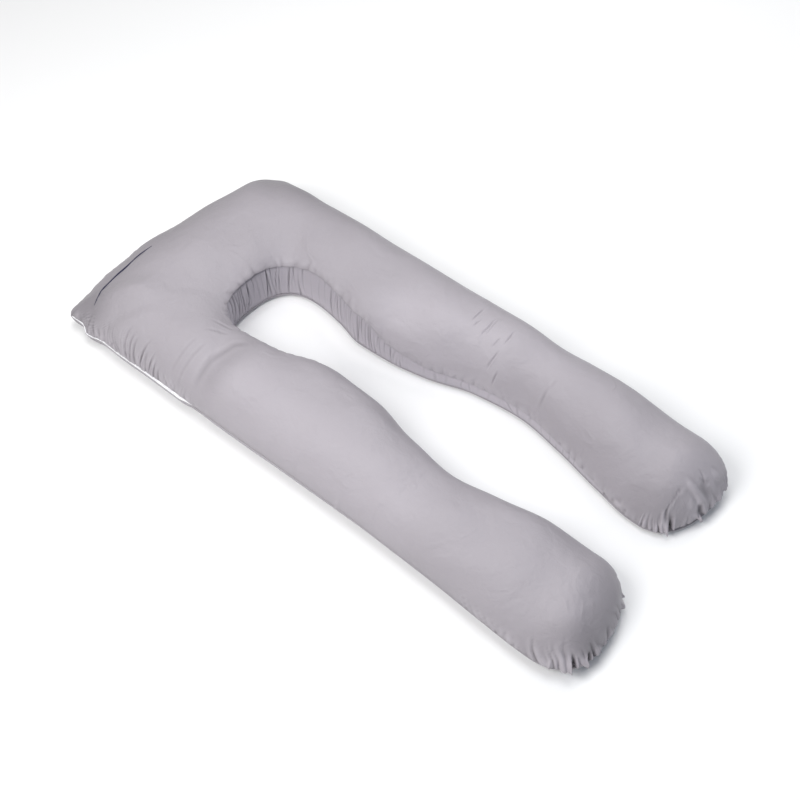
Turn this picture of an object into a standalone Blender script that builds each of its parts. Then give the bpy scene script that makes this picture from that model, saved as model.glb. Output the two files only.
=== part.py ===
"""U-shaped body pillow lying on its back: a filled body with a squared head end and two
contoured legs with gathered foot ends, a gathered band sewn in along the inside of the
U, a white zip at the near head corner and a dark tape in the head-end seam.

Metres, +Z up. The legs point along +X and the head end along -X; the near leg is the one
at -Y. A station is a line across the stuffing, from a point on the outer seam, over a
point on the spine where the crown stands, to a point on the inner seam. A station's
place t runs round the U: 0 to 1 up the near leg, 1 to 2 round the head end, with its
corners at 4/3 and 5/3, and 2 to 3 down the far leg.
"""

from math import cos, pi, sin

import bmesh
import bpy
import numpy as np

# Plan of the U -------------------------------------------------------------------
BEND_CENTRE_X = -0.340  # middle of the inner bend
BEND_REACH = 0.109  # how far the inner bend reaches towards the head end
BEND_SKEW = 0.07  # it reaches further on the near side
BEND_SQUARENESS = 2.6
HEAD_NEAR_CORNER = (-0.766, -0.312)
HEAD_FAR_CORNER = (-0.693, 0.312)
HEAD_NEAR_RADIUS = 0.016
HEAD_FAR_RADIUS = 0.080
HEAD_BOW = -0.007  # the head edge is drawn in between its corners
FOOT_CENTRE_X = 0.600
FOOT_REACH_NEAR = 0.114
FOOT_REACH_FAR = 0.110
FOOT_SQUARENESS = 2.4
FOOT_SKEW = 0.16  # the foot ends reach further on their outer side

# Heights and fullness --------------------------------------------------------------
CROWN_BEND = 0.166
CROWN_FOOT = 0.150
BAND_TOP_BEND = 0.121
LOWER_SEAM_Z = 0.013  # the band's lower seam
FULLNESS = 2.3  # of the crown: 2 is an ellipse, more is boxier
CORNER_FULLNESS = 1.6  # the stuffing thins out towards the head corners
CORNER_SIZE = 0.16  # how far from the corner that reaches
FAR_CORNER_SHARE = 0.6  # and how much of it there is at the rounder far corner
CONTACT_INSET_OUTER = 0.050  # from the outer seam in to where the cloth meets the floor
CONTACT_INSET_INNER = 0.020

# Seams and the pieces let into them --------------------------------------------------
SEAM_DROP = 0.004
GROOVE_LIP = 0.001
CLEARANCE = 0.0003
BAND_THICKNESS = 0.002
BAND_WAVE = 0.0013
ZIP_THICKNESS = 0.0016
ZIP_DROP = 0.0075
ZIP_LEDGE = 0.0065
TAPE_THICKNESS = 0.0014
TAPE_DROP = 0.0050
TAPE_LEDGE = 0.0065
BAND_SPAN = (0.10, 2.90)
BAND_GATHERS = (1.03, 1.97)
ZIP_SPAN = (1.005, 1.325)
TAPE_SPAN = (1.345, 1.470)
SPAN_EDGE = 0.02  # a piece's groove runs out over this much of t
TAPER = 0.7  # of its width, how much a let-in piece narrows at its ends

# One row for each section along the legs: distance of the inner and the outer seam of
# each leg from the middle line, height of the crown and of the band's upper edge.
LEG_COLUMNS = ("x", "near_in", "near_out", "far_in", "far_out", "crown", "band_top")
LEG_SECTIONS = (
    (BEND_CENTRE_X, 0.134, 0.324, 0.100, 0.312, CROWN_BEND, BAND_TOP_BEND),
    (-0.26, 0.126, 0.324, 0.090, 0.313, 0.166, BAND_TOP_BEND),
    (-0.18, 0.096, 0.324, 0.071, 0.314, 0.168, 0.118),
    (-0.10, 0.070, 0.323, 0.074, 0.315, 0.169, 0.080),
    (0.00, 0.070, 0.323, 0.090, 0.315, 0.168, 0.052),
    (0.12, 0.098, 0.323, 0.126, 0.315, 0.163, 0.045),
    (0.24, 0.114, 0.326, 0.138, 0.315, 0.155, 0.043),
    (0.36, 0.095, 0.330, 0.120, 0.316, 0.157, 0.038),
    (0.48, 0.070, 0.337, 0.092, 0.316, 0.158, 0.028),
    (FOOT_CENTRE_X, 0.062, 0.342, 0.072, 0.314, CROWN_FOOT, 0.022),
)

# One row for each section round the outer seam: its height and how far the bottom panel
# swells out below it.
SEAM_COLUMNS = ("t", "seam_z", "swell")
SEAM_SECTIONS = (
    (0.00, 0.042, 0.002),
    (0.55, 0.050, 0.003),
    (0.92, 0.052, 0.009),
    (1.10, 0.050, 0.010),
    (1.24, 0.046, 0.008),
    (4 / 3, 0.034, 0.004),
    (1.40, 0.082, 0.006),
    (1.46, 0.096, 0.008),
    (1.56, 0.078, 0.008),
    (5 / 3, 0.052, 0.008),
    (2.00, 0.052, 0.010),
    (3.00, 0.044, 0.004),
)

# Stretches where the seam draws the cloth into folds: where they start and end along
# their edge, their depth and how far up towards the crown they run.
NO_GATHERS = {"start": 0.0, "end": 0.0, "depth": 0.0, "rise": 0.5}
ZIP_GATHERS = {"start": 1.04, "end": 1.31, "depth": 0.0050, "rise": 0.62}
NEAR_FOOT_GATHERS = {"start": 0.05, "end": 1.00, "depth": 0.0050, "rise": 0.42}
FAR_FOOT_GATHERS = {"start": 0.30, "end": 1.00, "depth": 0.0050, "rise": 0.42}
GATHER_EDGE = 0.02  # folds die out over this much beyond both ends
GATHER_UNEVENNESS = 0.25
OUTER_BEAT = 37.0  # how fast the folds' depth wanders along the outer seam
BAND_BEAT = 53.0

# One row for each broad hollow pressed in the top: the line it runs along, how wide it is
# from its bottom to its edge, and its depth (a negative depth is a swelling).
HOLLOW_COLUMNS = ("x0", "y0", "x1", "y1", "width", "depth")
HOLLOWS = (
    (-0.42, -0.165, -0.350, -0.330, 0.045, 0.012),
    (-0.48, 0.300, -0.430, 0.120, 0.040, 0.006),
    (-0.10, 0.100, -0.020, 0.300, 0.050, 0.004),
    (-0.66, -0.090, -0.560, 0.120, 0.120, -0.004),
    (0.69, 0.110, 0.700, 0.270, 0.022, 0.010),
)

# Mesh density ------------------------------------------------------------------------
# One row for each run of stations: the places it lies between and how many it holds.
STATION_RUNS = (
    (0.0, 1.0, 30),
    (1.0, 4 / 3, 28),
    (4 / 3, 2.0, 40),
    (2.0, 3.0, 31),
)
FOOT_STATIONS = 26
TOP_RINGS = 7
BOTTOM_RINGS = 3
BAND_ROWS = 4


def clear_scene():
    for obj in list(bpy.data.objects):
        bpy.data.objects.remove(obj, do_unlink=True)


def fabric(name, colour, roughness, sheen=0.0):
    material = bpy.data.materials.new(name)
    material.use_nodes = True
    shader = material.node_tree.nodes["Principled BSDF"]
    shader.inputs["Base Color"].default_value = (*colour, 1.0)
    shader.inputs["Roughness"].default_value = roughness
    shader.inputs["Metallic"].default_value = 0.0
    shader.inputs["Sheen Weight"].default_value = sheen
    material.diffuse_color = (*colour, 1.0)
    return material


def column(rows, columns, name):
    place = columns.index(name)
    return np.array([row[place] for row in rows], float)


def through(xs, ys, x):
    """A smooth curve through the rows that never overshoots them (monotone cubic)."""
    step = np.diff(xs)
    slope = np.diff(ys) / step
    tangent = np.zeros(len(xs))
    same = slope[:-1] * slope[1:] > 0
    near, far = slope[:-1][same], slope[1:][same]
    tangent[1:-1][same] = 2 * near * far / (near + far)
    i = np.clip(np.searchsorted(xs, x) - 1, 0, len(xs) - 2)
    f = np.clip((x - xs[i]) / step[i], 0, 1)
    rise = f * f * (3 - 2 * f)
    leave = f * (1 - f) ** 2
    arrive = f * f * (f - 1)
    bent = step[i] * (leave * tangent[i] + arrive * tangent[i + 1])
    return ys[i] + (ys[i + 1] - ys[i]) * rise + bent


def rounded(turn):
    """Cosine or sine of an angle, bent so that the curve they draw is squarer than round."""
    return np.sign(turn) * np.abs(turn) ** (2 / BEND_SQUARENESS)


def leg_value(name, x):
    xs = column(LEG_SECTIONS, LEG_COLUMNS, "x")
    return through(xs, column(LEG_SECTIONS, LEG_COLUMNS, name), x)


def seam_value(name, t):
    ts = column(SEAM_SECTIONS, SEAM_COLUMNS, "t")
    return through(ts, column(SEAM_SECTIONS, SEAM_COLUMNS, name), t)


def ease(value):
    value = np.clip(value, 0.0, 1.0)
    return value * value * (3 - 2 * value)


def within(t, span, edge):
    """1 inside the span, easing to 0 over the edge's width on both sides of it."""
    return ease((t - span[0]) / edge + 1) * ease((span[1] - t) / edge + 1)


def filleted(corners, radii, steps=12):
    """Points along straight runs that are joined by arcs."""
    points = [np.array(corners[0])]
    for before, corner, after, radius in zip(corners, corners[1:], corners[2:], radii):
        corner = np.array(corner)
        back = np.array(before) - corner
        ahead = np.array(after) - corner
        back /= np.linalg.norm(back)
        ahead /= np.linalg.norm(ahead)
        half = np.arccos(np.clip(back @ ahead, -1, 1)) / 2
        middle = (back + ahead) / np.linalg.norm(back + ahead)
        centre = corner + middle * radius / sin(half)
        side = (ahead - back) / np.linalg.norm(ahead - back)
        for turn in np.linspace(half - pi / 2, pi / 2 - half, steps):
            points.append(centre - radius * (middle * cos(turn) - side * sin(turn)))
    points.append(np.array(corners[-1]))
    return np.array(points)


def head_outline(t):
    """Outer seam round the head end; the corners are a third and two thirds along."""
    corners = (
        (BEND_CENTRE_X, -leg_value("near_out", BEND_CENTRE_X)),
        HEAD_NEAR_CORNER,
        HEAD_FAR_CORNER,
        (BEND_CENTRE_X, leg_value("far_out", BEND_CENTRE_X)),
    )
    path = filleted(corners, (HEAD_NEAR_RADIUS, HEAD_FAR_RADIUS))
    length = np.concatenate([[0], np.cumsum(np.linalg.norm(np.diff(path, axis=0), axis=1))])
    at_corner = [
        length[np.argmin(np.linalg.norm(path - corner, axis=1))]
        for corner in (HEAD_NEAR_CORNER, HEAD_FAR_CORNER)
    ]
    run = np.interp(t, (1, 4 / 3, 5 / 3, 2), (0, *at_corner, length[-1]))
    point = np.stack([np.interp(run, length, path[:, axis]) for axis in (0, 1)], axis=-1)
    between = np.clip((t - 4 / 3) * 3, 0, 1)
    point[..., 0] -= HEAD_BOW * np.sin(pi * between)
    return point


def station_places():
    last = STATION_RUNS[-1]
    runs = (np.linspace(*row, endpoint=False) for row in STATION_RUNS[:-1])
    return np.concatenate([*runs, np.linspace(*last)])


def stations_within(span):
    t = station_places()
    return t[(t > span[0]) & (t < span[1])]


def stations(t):
    """Outer and inner seam points in plan, and the heights of crown and band, at each t."""
    t = np.asarray(t, float)
    along = np.where(t < 1, 1 - t, t - 2)
    x = BEND_CENTRE_X + (FOOT_CENTRE_X - BEND_CENTRE_X) * np.clip(along, 0, 1)
    near = t < 1.5
    side = np.where(near, -1, 1)
    half_out = np.where(near, leg_value("near_out", x), leg_value("far_out", x))
    half_in = np.where(near, leg_value("near_in", x), leg_value("far_in", x))
    outer = np.stack([x, side * half_out], axis=-1)
    inner = np.stack([x, side * half_in], axis=-1)
    bend = (t >= 1) & (t <= 2)
    angle = (np.clip(t, 1, 2) - 1.5) * pi
    near_bend, far_bend = (leg_value(name, BEND_CENTRE_X) for name in ("near_in", "far_in"))
    reach, swing = (rounded(turn) for turn in (np.cos(angle), np.sin(angle)))
    arc_x = BEND_CENTRE_X - BEND_REACH * reach * (1 - BEND_SKEW * swing)
    arc_y = (far_bend - near_bend) / 2 + (far_bend + near_bend) / 2 * swing
    arc = np.stack([arc_x, arc_y], axis=-1)
    outer = np.where(bend[..., None], head_outline(t), outer)
    inner = np.where(bend[..., None], arc, inner)
    return outer, inner, leg_value("crown", x), leg_value("band_top", x)


class Edge:
    """Points along a seam, each with the station line it lies on and its heights."""

    def __init__(self, rim, spine, line, crown, upper, drop, ledge, swell, inset, groove):
        self.rim, self.spine, self.line, self.crown = rim, spine, line, crown
        self.upper, self.drop, self.ledge, self.swell = upper, drop, ledge, swell
        self.inset, self.groove = inset, groove
        self.reach = np.linalg.norm(rim - spine, axis=1)
        self.out = (rim - spine) / self.reach[:, None]

    def place(self, outwards, height):
        """A point this far out from the rim, at this height."""
        return np.column_stack([self.rim + self.out * np.asarray(outwards)[:, None], height])

    def slot(self, lip, depth, lower=0.0):
        """A point in the seam: lip in from its upper edge (or lower), depth into it."""
        fall = np.hypot(self.ledge, self.drop)
        down = np.column_stack([self.ledge, -self.drop]) / fall[:, None]
        into = np.column_stack([down[:, 1], -down[:, 0]])
        run = lip + lower * (fall - 2 * lip)
        spot = down * np.asarray(run)[:, None] + into * np.asarray(depth)[:, None]
        return self.place(spot[:, 0], self.upper + spot[:, 1])


def outer_edge(t, line):
    outer, inner, crown, _ = stations(t)
    zipped = within(t, ZIP_SPAN, SPAN_EDGE)
    taped = within(t, TAPE_SPAN, SPAN_EDGE)
    drop = SEAM_DROP + (ZIP_DROP - SEAM_DROP) * zipped + (TAPE_DROP - SEAM_DROP) * taped
    depth = (ZIP_THICKNESS + CLEARANCE) * zipped + (TAPE_THICKNESS + CLEARANCE) * taped
    return Edge(
        outer,
        (outer + inner) / 2,
        line,
        crown,
        seam_value("seam_z", t),
        drop,
        ZIP_LEDGE * zipped + TAPE_LEDGE * taped,
        seam_value("swell", t),
        np.full(len(t), CONTACT_INSET_OUTER),
        depth,
    )


def inner_edge(t, line):
    outer, inner, crown, band_top = stations(t)
    depth = BAND_THICKNESS + 2 * BAND_WAVE + CLEARANCE
    nothing = np.zeros(len(t))
    return Edge(
        inner,
        (outer + inner) / 2,
        line,
        crown,
        band_top,
        band_top - LOWER_SEAM_Z,
        nothing,
        nothing,
        np.full(len(t), CONTACT_INSET_INNER),
        depth * within(t, BAND_SPAN, SPAN_EDGE),
    )


def foot_edge(start, end, reach, skew, line):
    """The round end of a leg, from one edge's last point to the other's first."""
    turn = np.linspace(-pi / 2, pi / 2, FOOT_STATIONS + 2)[1:-1]
    share = (1 + np.sin(turn)) / 2
    middle = (start.rim + end.rim) / 2
    half = (end.rim - start.rim) / 2
    power = 2 / FOOT_SQUARENESS
    across = np.sign(np.sin(turn)) * np.abs(np.sin(turn)) ** power
    ahead = np.cos(turn) ** power * reach * (1 + skew * np.sin(turn))
    rim = middle + half * across[:, None]
    rim[:, 0] += ahead

    def blend(name):
        first, last = getattr(start, name), getattr(end, name)
        return first + (last - first) * ease(share)

    return Edge(
        rim,
        np.repeat(middle, len(turn), axis=0),
        np.full(len(turn), line),
        *(blend(name) for name in ("crown", "upper", "drop", "ledge", "swell", "inset")),
        np.zeros(len(turn)),
    )


def part_of(edge, index):
    fields = ("rim", "spine", "line", "crown", "upper", "drop", "ledge", "swell", "inset")
    return Edge(*(getattr(edge, name)[index] for name in fields), edge.groove[index])


def joined(edges):
    fields = ("rim", "spine", "line", "crown", "upper", "drop", "ledge", "swell", "inset")
    return Edge(
        *(np.concatenate([getattr(edge, name) for edge in edges]) for name in fields),
        np.concatenate([edge.groove for edge in edges]),
    )


def folds(gathers, places, beat=0.0):
    """How deep the folds are at these places and how far up the top they run."""
    here = within(places, (gathers["start"], gathers["end"]), GATHER_EDGE)
    uneven = 1 - GATHER_UNEVENNESS * (1 - np.sin(beat * places))
    return gathers["depth"] * here * uneven, np.full(len(places), gathers["rise"])


def turn_about(count):
    """1 and -1 in turn: the folds stand in and out from one station to the next."""
    return np.where(np.arange(count) % 2, 1, -1)


def whole_rim():
    """The closed rim of the pillow, with the gathers' depth and rise at each point."""
    t = station_places()
    line = np.arange(len(t))
    outer, inner = outer_edge(t, line), inner_edge(t[::-1], line[::-1])
    last, first = slice(-1, None), slice(0, 1)
    far_ends = part_of(outer, last), part_of(inner, first)
    near_ends = part_of(inner, last), part_of(outer, first)
    far = foot_edge(*far_ends, FOOT_REACH_FAR, -FOOT_SKEW, line[-1])
    near = foot_edge(*near_ends, FOOT_REACH_NEAR, FOOT_SKEW, line[0])
    foot_places = np.linspace(0, 1, FOOT_STATIONS)
    strength = (
        folds(ZIP_GATHERS, t, OUTER_BEAT),
        folds(FAR_FOOT_GATHERS, foot_places),
        folds(NO_GATHERS, t),
        folds(NEAR_FOOT_GATHERS, foot_places),
    )
    depth, rise = (np.concatenate(values) for values in zip(*strength))
    return joined([outer, far, inner, near]), depth * turn_about(len(depth)), rise


def hollowed(points, share):
    """The points of the top lowered by this share of the hollows' depths."""
    points = points.copy()
    for row in HOLLOWS:
        hollow = dict(zip(HOLLOW_COLUMNS, row))
        start = np.array((hollow["x0"], hollow["y0"]))
        along = np.array((hollow["x1"], hollow["y1"])) - start
        run = np.clip((points[:, :2] - start) @ along / (along @ along), 0, 1)
        away = np.linalg.norm(points[:, :2] - start - run[:, None] * along, axis=1)
        points[:, 2] -= hollow["depth"] * share * np.exp(-((away / hollow["width"]) ** 2))
    return points


def profile_fullness(rim):
    """Fullness of each profile: thin towards the head corners."""
    full = np.full(len(rim.rim), FULLNESS)
    for corner, weight in ((HEAD_NEAR_CORNER, 1.0), (HEAD_FAR_CORNER, FAR_CORNER_SHARE)):
        away = np.linalg.norm(rim.rim - corner, axis=1)
        full -= (FULLNESS - CORNER_FULLNESS) * weight * (1 - ease(away / CORNER_SIZE))
    return full


def fold_profile(share, rise):
    """How much of the folds' depth shows this far out: all of it above the seam, less at it."""
    held, sharpness, onset = 0.75, 24, 1.6
    return ease((share - 1 + rise) / rise * onset) * (1 - held * share**sharpness)


def pillow_rings():
    """Rings of points from the crown over the seam to the floor, and the two spines."""
    rim, fold, rise = whole_rim()
    power = 2 / profile_fullness(rim)
    rings = []
    for k in range(1, TOP_RINGS + 1):
        turn = pi / 2 * k / TOP_RINGS
        share = sin(turn) ** power
        height = cos(turn) ** power if k < TOP_RINGS else 0.0
        lift = fold * fold_profile(share, rise)
        z = rim.upper + (rim.crown - rim.upper) * height + lift * cos(turn)
        ring = rim.place(rim.reach * (share - 1) + lift * sin(turn), z)
        rings.append(hollowed(ring, 1 - share**4))
    lip = np.full(len(fold), GROOVE_LIP)
    rings.append(rim.slot(lip, rim.groove))
    rings.append(rim.slot(lip, rim.groove, lower=1.0))
    rings.append(rim.slot(lip * 0, rim.groove * 0, lower=1.0))
    lower = rim.upper - rim.drop
    for k in range(1, BOTTOM_RINGS + 1):
        turn = pi / 2 * k / BOTTOM_RINGS
        inwards = -rim.inset * (1 - cos(turn)) + rim.swell * sin(2 * turn)
        rings.append(rim.place(rim.ledge + inwards, lower * (1 - sin(turn))))
    lines = int(rim.line.max()) + 1
    first = [int(np.argmax(rim.line == line)) for line in range(lines)]
    crown = hollowed(np.column_stack([rim.spine[first], rim.crown[first]]), 1)
    sole = np.column_stack([rim.spine[first], np.zeros(lines)])
    return rings, crown, sole, rim.line


def add_object(name, mesh_of, material):
    mesh = bpy.data.meshes.new(name)
    body = bmesh.new()
    mesh_of(body)
    bmesh.ops.recalc_face_normals(body, faces=body.faces)
    body.to_mesh(mesh)
    body.free()
    mesh.shade_smooth()
    mesh.set_sharp_from_angle(angle=pi / 4)
    mesh.materials.append(material)
    obj = bpy.data.objects.new(name, mesh)
    bpy.context.scene.collection.objects.link(obj)
    return obj


def close_to_spine(body, ring, spine, line):
    """Faces from the innermost ring to the spine; a foot's points share one spine point."""
    for i in range(len(ring)):
        j = (i + 1) % len(ring)
        corners = [ring[i], ring[j], spine[line[j]]]
        if line[i] != line[j]:
            corners.append(spine[line[i]])
        body.faces.new(corners)


def pillow_mesh(body):
    rings, crown, sole, line = pillow_rings()
    loops = [[body.verts.new(point) for point in ring] for ring in rings]
    for above, below in zip(loops, loops[1:]):
        for i in range(len(above)):
            j = (i + 1) % len(above)
            body.faces.new((above[i], above[j], below[j], below[i]))
    close_to_spine(body, loops[0], [body.verts.new(point) for point in crown], line)
    close_to_spine(body, loops[-1], [body.verts.new(point) for point in sole], line)


def strip_mesh(body, edge, lip, depth, thickness, rows):
    """A strip let into the seam: rows across it, depth from its back to the seam's face."""
    sections = []
    for share in np.linspace(0, 1, rows):
        sections.append(edge.slot(lip, depth(share), lower=share))
    for share in np.linspace(1, 0, rows):
        sections.append(edge.slot(lip, depth(share) - thickness, lower=share))
    loops = np.array(sections).transpose(1, 0, 2)
    verts = [[body.verts.new(point) for point in loop] for loop in loops]
    for one, two in zip(verts, verts[1:]):
        for i in range(len(one)):
            j = (i + 1) % len(one)
            body.faces.new((one[i], one[j], two[j], two[i]))
    body.faces.new(verts[0])
    body.faces.new(verts[-1])


def tapered_lip(t, span, edge, run):
    """Distance of a let-in strip from the seam's edges: it narrows over run at both ends."""
    least = GROOVE_LIP + CLEARANCE
    widest = np.hypot(edge.ledge, edge.drop) / 2 - least
    narrowing = 1 - ease(np.minimum(t - span[0], span[1] - t) / run)
    return least + narrowing * widest * TAPER


def inner_band_mesh(body):
    """The band stands in and out in gathers round the bend and lies smooth on the legs."""
    run = 0.25
    t = stations_within(BAND_SPAN)
    edge = inner_edge(t, np.arange(len(t)))
    uneven = 1 - GATHER_UNEVENNESS * (1 - np.sin(BAND_BEAT * t))
    gathered = within(t, BAND_GATHERS, GATHER_EDGE) * uneven
    wave = BAND_WAVE * gathered * turn_about(len(t))

    def depth(share):
        fullness = 0.35 + 0.65 * sin(pi * share)
        return edge.groove - CLEARANCE - BAND_WAVE + wave * fullness

    lip = tapered_lip(t, BAND_SPAN, edge, run)
    strip_mesh(body, edge, lip, depth, BAND_THICKNESS, BAND_ROWS)


def outer_strip_mesh(span, thickness):
    """A flat strip let into the outer seam along the span, narrowing at both ends."""

    def mesh_of(body):
        run = 0.035
        t = stations_within(span)
        edge = outer_edge(t, np.arange(len(t)))
        lip = tapered_lip(t, span, edge, run)
        strip_mesh(body, edge, lip, lambda share: edge.groove - CLEARANCE, thickness, 2)

    return mesh_of


def centre_on_floor(objects):
    """Moves the pillow so that its box stands centred on the origin."""
    points = np.array([v.co for obj in objects for v in obj.data.vertices])
    low, high = points.min(axis=0), points.max(axis=0)
    middle = (low + high) / 2
    for obj in objects:
        for vertex in obj.data.vertices:
            vertex.co.x -= middle[0]
            vertex.co.y -= middle[1]
            vertex.co.z -= low[2]


def main():
    clear_scene()
    cloth = fabric("pillow_cloth", (0.50, 0.47, 0.50), 0.62, sheen=0.3)
    band = fabric("band_cloth", (0.46, 0.43, 0.47), 0.66, sheen=0.3)
    white = fabric("zip_white", (0.86, 0.86, 0.88), 0.45)
    navy = fabric("tape_navy", (0.02, 0.02, 0.05), 0.6)
    objects = [
        add_object("pillow", pillow_mesh, cloth),
        add_object("inner_band", inner_band_mesh, band),
        add_object("side_zip", outer_strip_mesh(ZIP_SPAN, ZIP_THICKNESS), white),
        add_object("head_tape", outer_strip_mesh(TAPE_SPAN, TAPE_THICKNESS), navy),
    ]
    centre_on_floor(objects)


main()
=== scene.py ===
"""Looks of the U-shaped body pillow: the stuffed body with its gathers and creases, the
gathered side band inside the U, the zip, a strip of painted crease shade on the head, the stitching and the
studio.

Metres, +Z up. The legs point along +X; the near leg is the one at -Y. A station is a line
across the stuffing, from the outer seam over the spine to the inner seam. Its place t runs
0 to 1 up the near leg, 1 to 2 round the head end, with its corners at 4/3 and 5/3, and 2
to 3 down the far leg. The rim is the closed line of seams round the whole body.
"""

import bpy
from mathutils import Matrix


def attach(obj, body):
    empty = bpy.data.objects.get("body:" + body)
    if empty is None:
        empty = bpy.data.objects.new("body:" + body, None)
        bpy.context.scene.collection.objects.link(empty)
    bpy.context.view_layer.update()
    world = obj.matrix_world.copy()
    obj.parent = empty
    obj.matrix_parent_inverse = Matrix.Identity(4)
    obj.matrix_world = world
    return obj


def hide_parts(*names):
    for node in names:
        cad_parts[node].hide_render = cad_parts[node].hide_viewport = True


bl_info = {
    "name": "U-Shaped Body Pillow",
    "version": (1, 0, 0),
    "blender": (4, 5, 0),
    "location": "3D View > Sidebar > Body Pillow",
    "description": "Builds a stuffed U-shaped body pillow with its seams, gathers and cloth",
    "category": "Object",
}

from math import cos, pi, radians, sin

import bpy
import numpy as np
from bpy.props import FloatProperty, FloatVectorProperty, IntProperty, PointerProperty
from bpy.types import Operator, Panel, PropertyGroup
from mathutils import Vector

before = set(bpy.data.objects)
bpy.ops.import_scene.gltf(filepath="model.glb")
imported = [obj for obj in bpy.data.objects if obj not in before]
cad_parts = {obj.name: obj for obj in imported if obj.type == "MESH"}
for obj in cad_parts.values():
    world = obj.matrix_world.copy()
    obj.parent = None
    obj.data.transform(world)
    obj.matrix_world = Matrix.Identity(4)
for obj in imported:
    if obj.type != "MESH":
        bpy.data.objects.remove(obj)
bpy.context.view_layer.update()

# Plan of the U, before its box is centred on the origin ------------------------------
MIDDLE = (-0.0252, -0.0130)  # the middle of its box, in these sizes' own frame
BEND_CENTRE_X = -0.340
BEND_REACH = 0.109
BEND_SKEW = 0.07
BEND_SQUARENESS = 2.6
HEAD_NEAR_CORNER = (-0.766, -0.312)
HEAD_FAR_CORNER = (-0.693, 0.312)
HEAD_NEAR_RADIUS = 0.016
HEAD_FAR_RADIUS = 0.080
HEAD_BOW = -0.007
HEAD_SLOPE_START = -0.600  # the profiles of the head end slope more gently from here on
HEAD_SLOPE_EASE = 0.060
FOOT_CENTRE_X = 0.600
FOOT_REACH_NEAR = 0.114
FOOT_REACH_FAR = 0.110
FOOT_SQUARENESS = 2.4
FOOT_SKEW = 0.16
FAR_CORNER_WEIGHT = 0.8  # how much the rounder far corner thins out

# One row for each section along the legs: distance of the inner and the outer seam of
# each leg from the middle line, height of the crown and of the band's upper edge.
LEG_COLUMNS = ("x", "near_in", "near_out", "far_in", "far_out", "crown", "band_top")
LEG_SECTIONS = (
    (BEND_CENTRE_X, 0.134, 0.324, 0.100, 0.312, 0.166, 0.121),
    (-0.26, 0.126, 0.324, 0.090, 0.313, 0.166, 0.121),
    (-0.18, 0.096, 0.324, 0.071, 0.314, 0.168, 0.118),
    (-0.10, 0.070, 0.323, 0.074, 0.315, 0.169, 0.080),
    (0.00, 0.070, 0.323, 0.090, 0.315, 0.168, 0.052),
    (0.12, 0.098, 0.323, 0.126, 0.315, 0.163, 0.045),
    (0.24, 0.114, 0.326, 0.138, 0.315, 0.155, 0.043),
    (0.36, 0.095, 0.330, 0.120, 0.316, 0.157, 0.038),
    (0.48, 0.070, 0.337, 0.092, 0.316, 0.158, 0.028),
    (FOOT_CENTRE_X, 0.062, 0.342, 0.072, 0.314, 0.150, 0.022),
)

# One row for each section round the outer seam: its height, how far the bottom panel
# swells out below it, how far the seam itself wanders out of its smooth line, and the share
# of the zip's full width that shows.
SEAM_COLUMNS = ("t", "seam_z", "swell", "wander", "zip")
SEAM_SECTIONS = (
    (0.00, 0.042, 0.002, 0.000, 0.0),
    (0.55, 0.050, 0.003, 0.000, 0.0),
    (0.92, 0.052, 0.005, 0.000, 0.0),
    (1.005, 0.051, 0.003, -0.001, 0.1),
    (1.037, 0.050, 0.003, -0.001, 1.0),
    (1.12, 0.049, 0.003, 0.001, 0.85),
    (1.19, 0.045, 0.003, 0.004, 0.70),
    (1.234, 0.043, 0.003, 0.003, 0.60),
    (1.268, 0.036, 0.003, 0.012, 0.55),
    (1.300, 0.044, 0.003, -0.004, 0.50),
    (1.320, 0.045, 0.003, -0.002, 0.45),
    (4 / 3, 0.044, 0.003, 0.000, 0.3),
    (1.40, 0.082, 0.006, 0.000, 0.0),
    (1.46, 0.096, 0.008, 0.000, 0.0),
    (1.56, 0.078, 0.008, 0.000, 0.0),
    (5 / 3, 0.052, 0.008, 0.000, 0.0),
    (2.00, 0.052, 0.010, 0.000, 0.0),
    (3.00, 0.044, 0.004, 0.000, 0.0),
)
LOWER_SEAM_Z = 0.013  # the band's lower seam
CONTACT_INSET_OUTER = 0.050
CONTACT_INSET_INNER = 0.020

# Seams and the pieces let into them ----------------------------------------------------
SEAM_DROP = 0.004
SEAM_VALLEY = 0.0022
GROOVE_LIP = 0.001
BAND_SPAN = (0.10, 2.90)
BAND_DEPTH = 0.0110
BAND_THICKNESS = 0.0012
BAND_PITCH = 0.0022  # between the points of its mesh
BAND_ROWS = 15
BAND_BULGE = 0.0030
BAND_STEP = 0.0030  # depth of a crease whose painted shade is full
BAND_FULL_SHADE_DEPTH = 0.0034  # depth of a crease at its deepest tone
BAND_LEVEL = 0.0022  # how deep its cloth lies in its groove
BAND_PROUDEST = -0.004  # how far out of the groove a crease may stand
BAND_BACKING = 0.0015  # least room behind it
BAND_FULL_DROP = 0.1  # where the band is lower than this, it bulges and creases less
BAND_STEP_REACH = 0.06  # share of its height over which its upper edge steps in
ZIP_SPAN = (1.005, 1.325)
ZIP_DROP = 0.0070
ZIP_LEDGE = 0.0055
ZIP_DEPTH = 0.0019
ZIP_LEVEL = 0.0002  # how deep its tape lies
ZIP_ARCH = 0.0006  # how far the tape's middle stands out
ZIP_ROWS = 4
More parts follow.
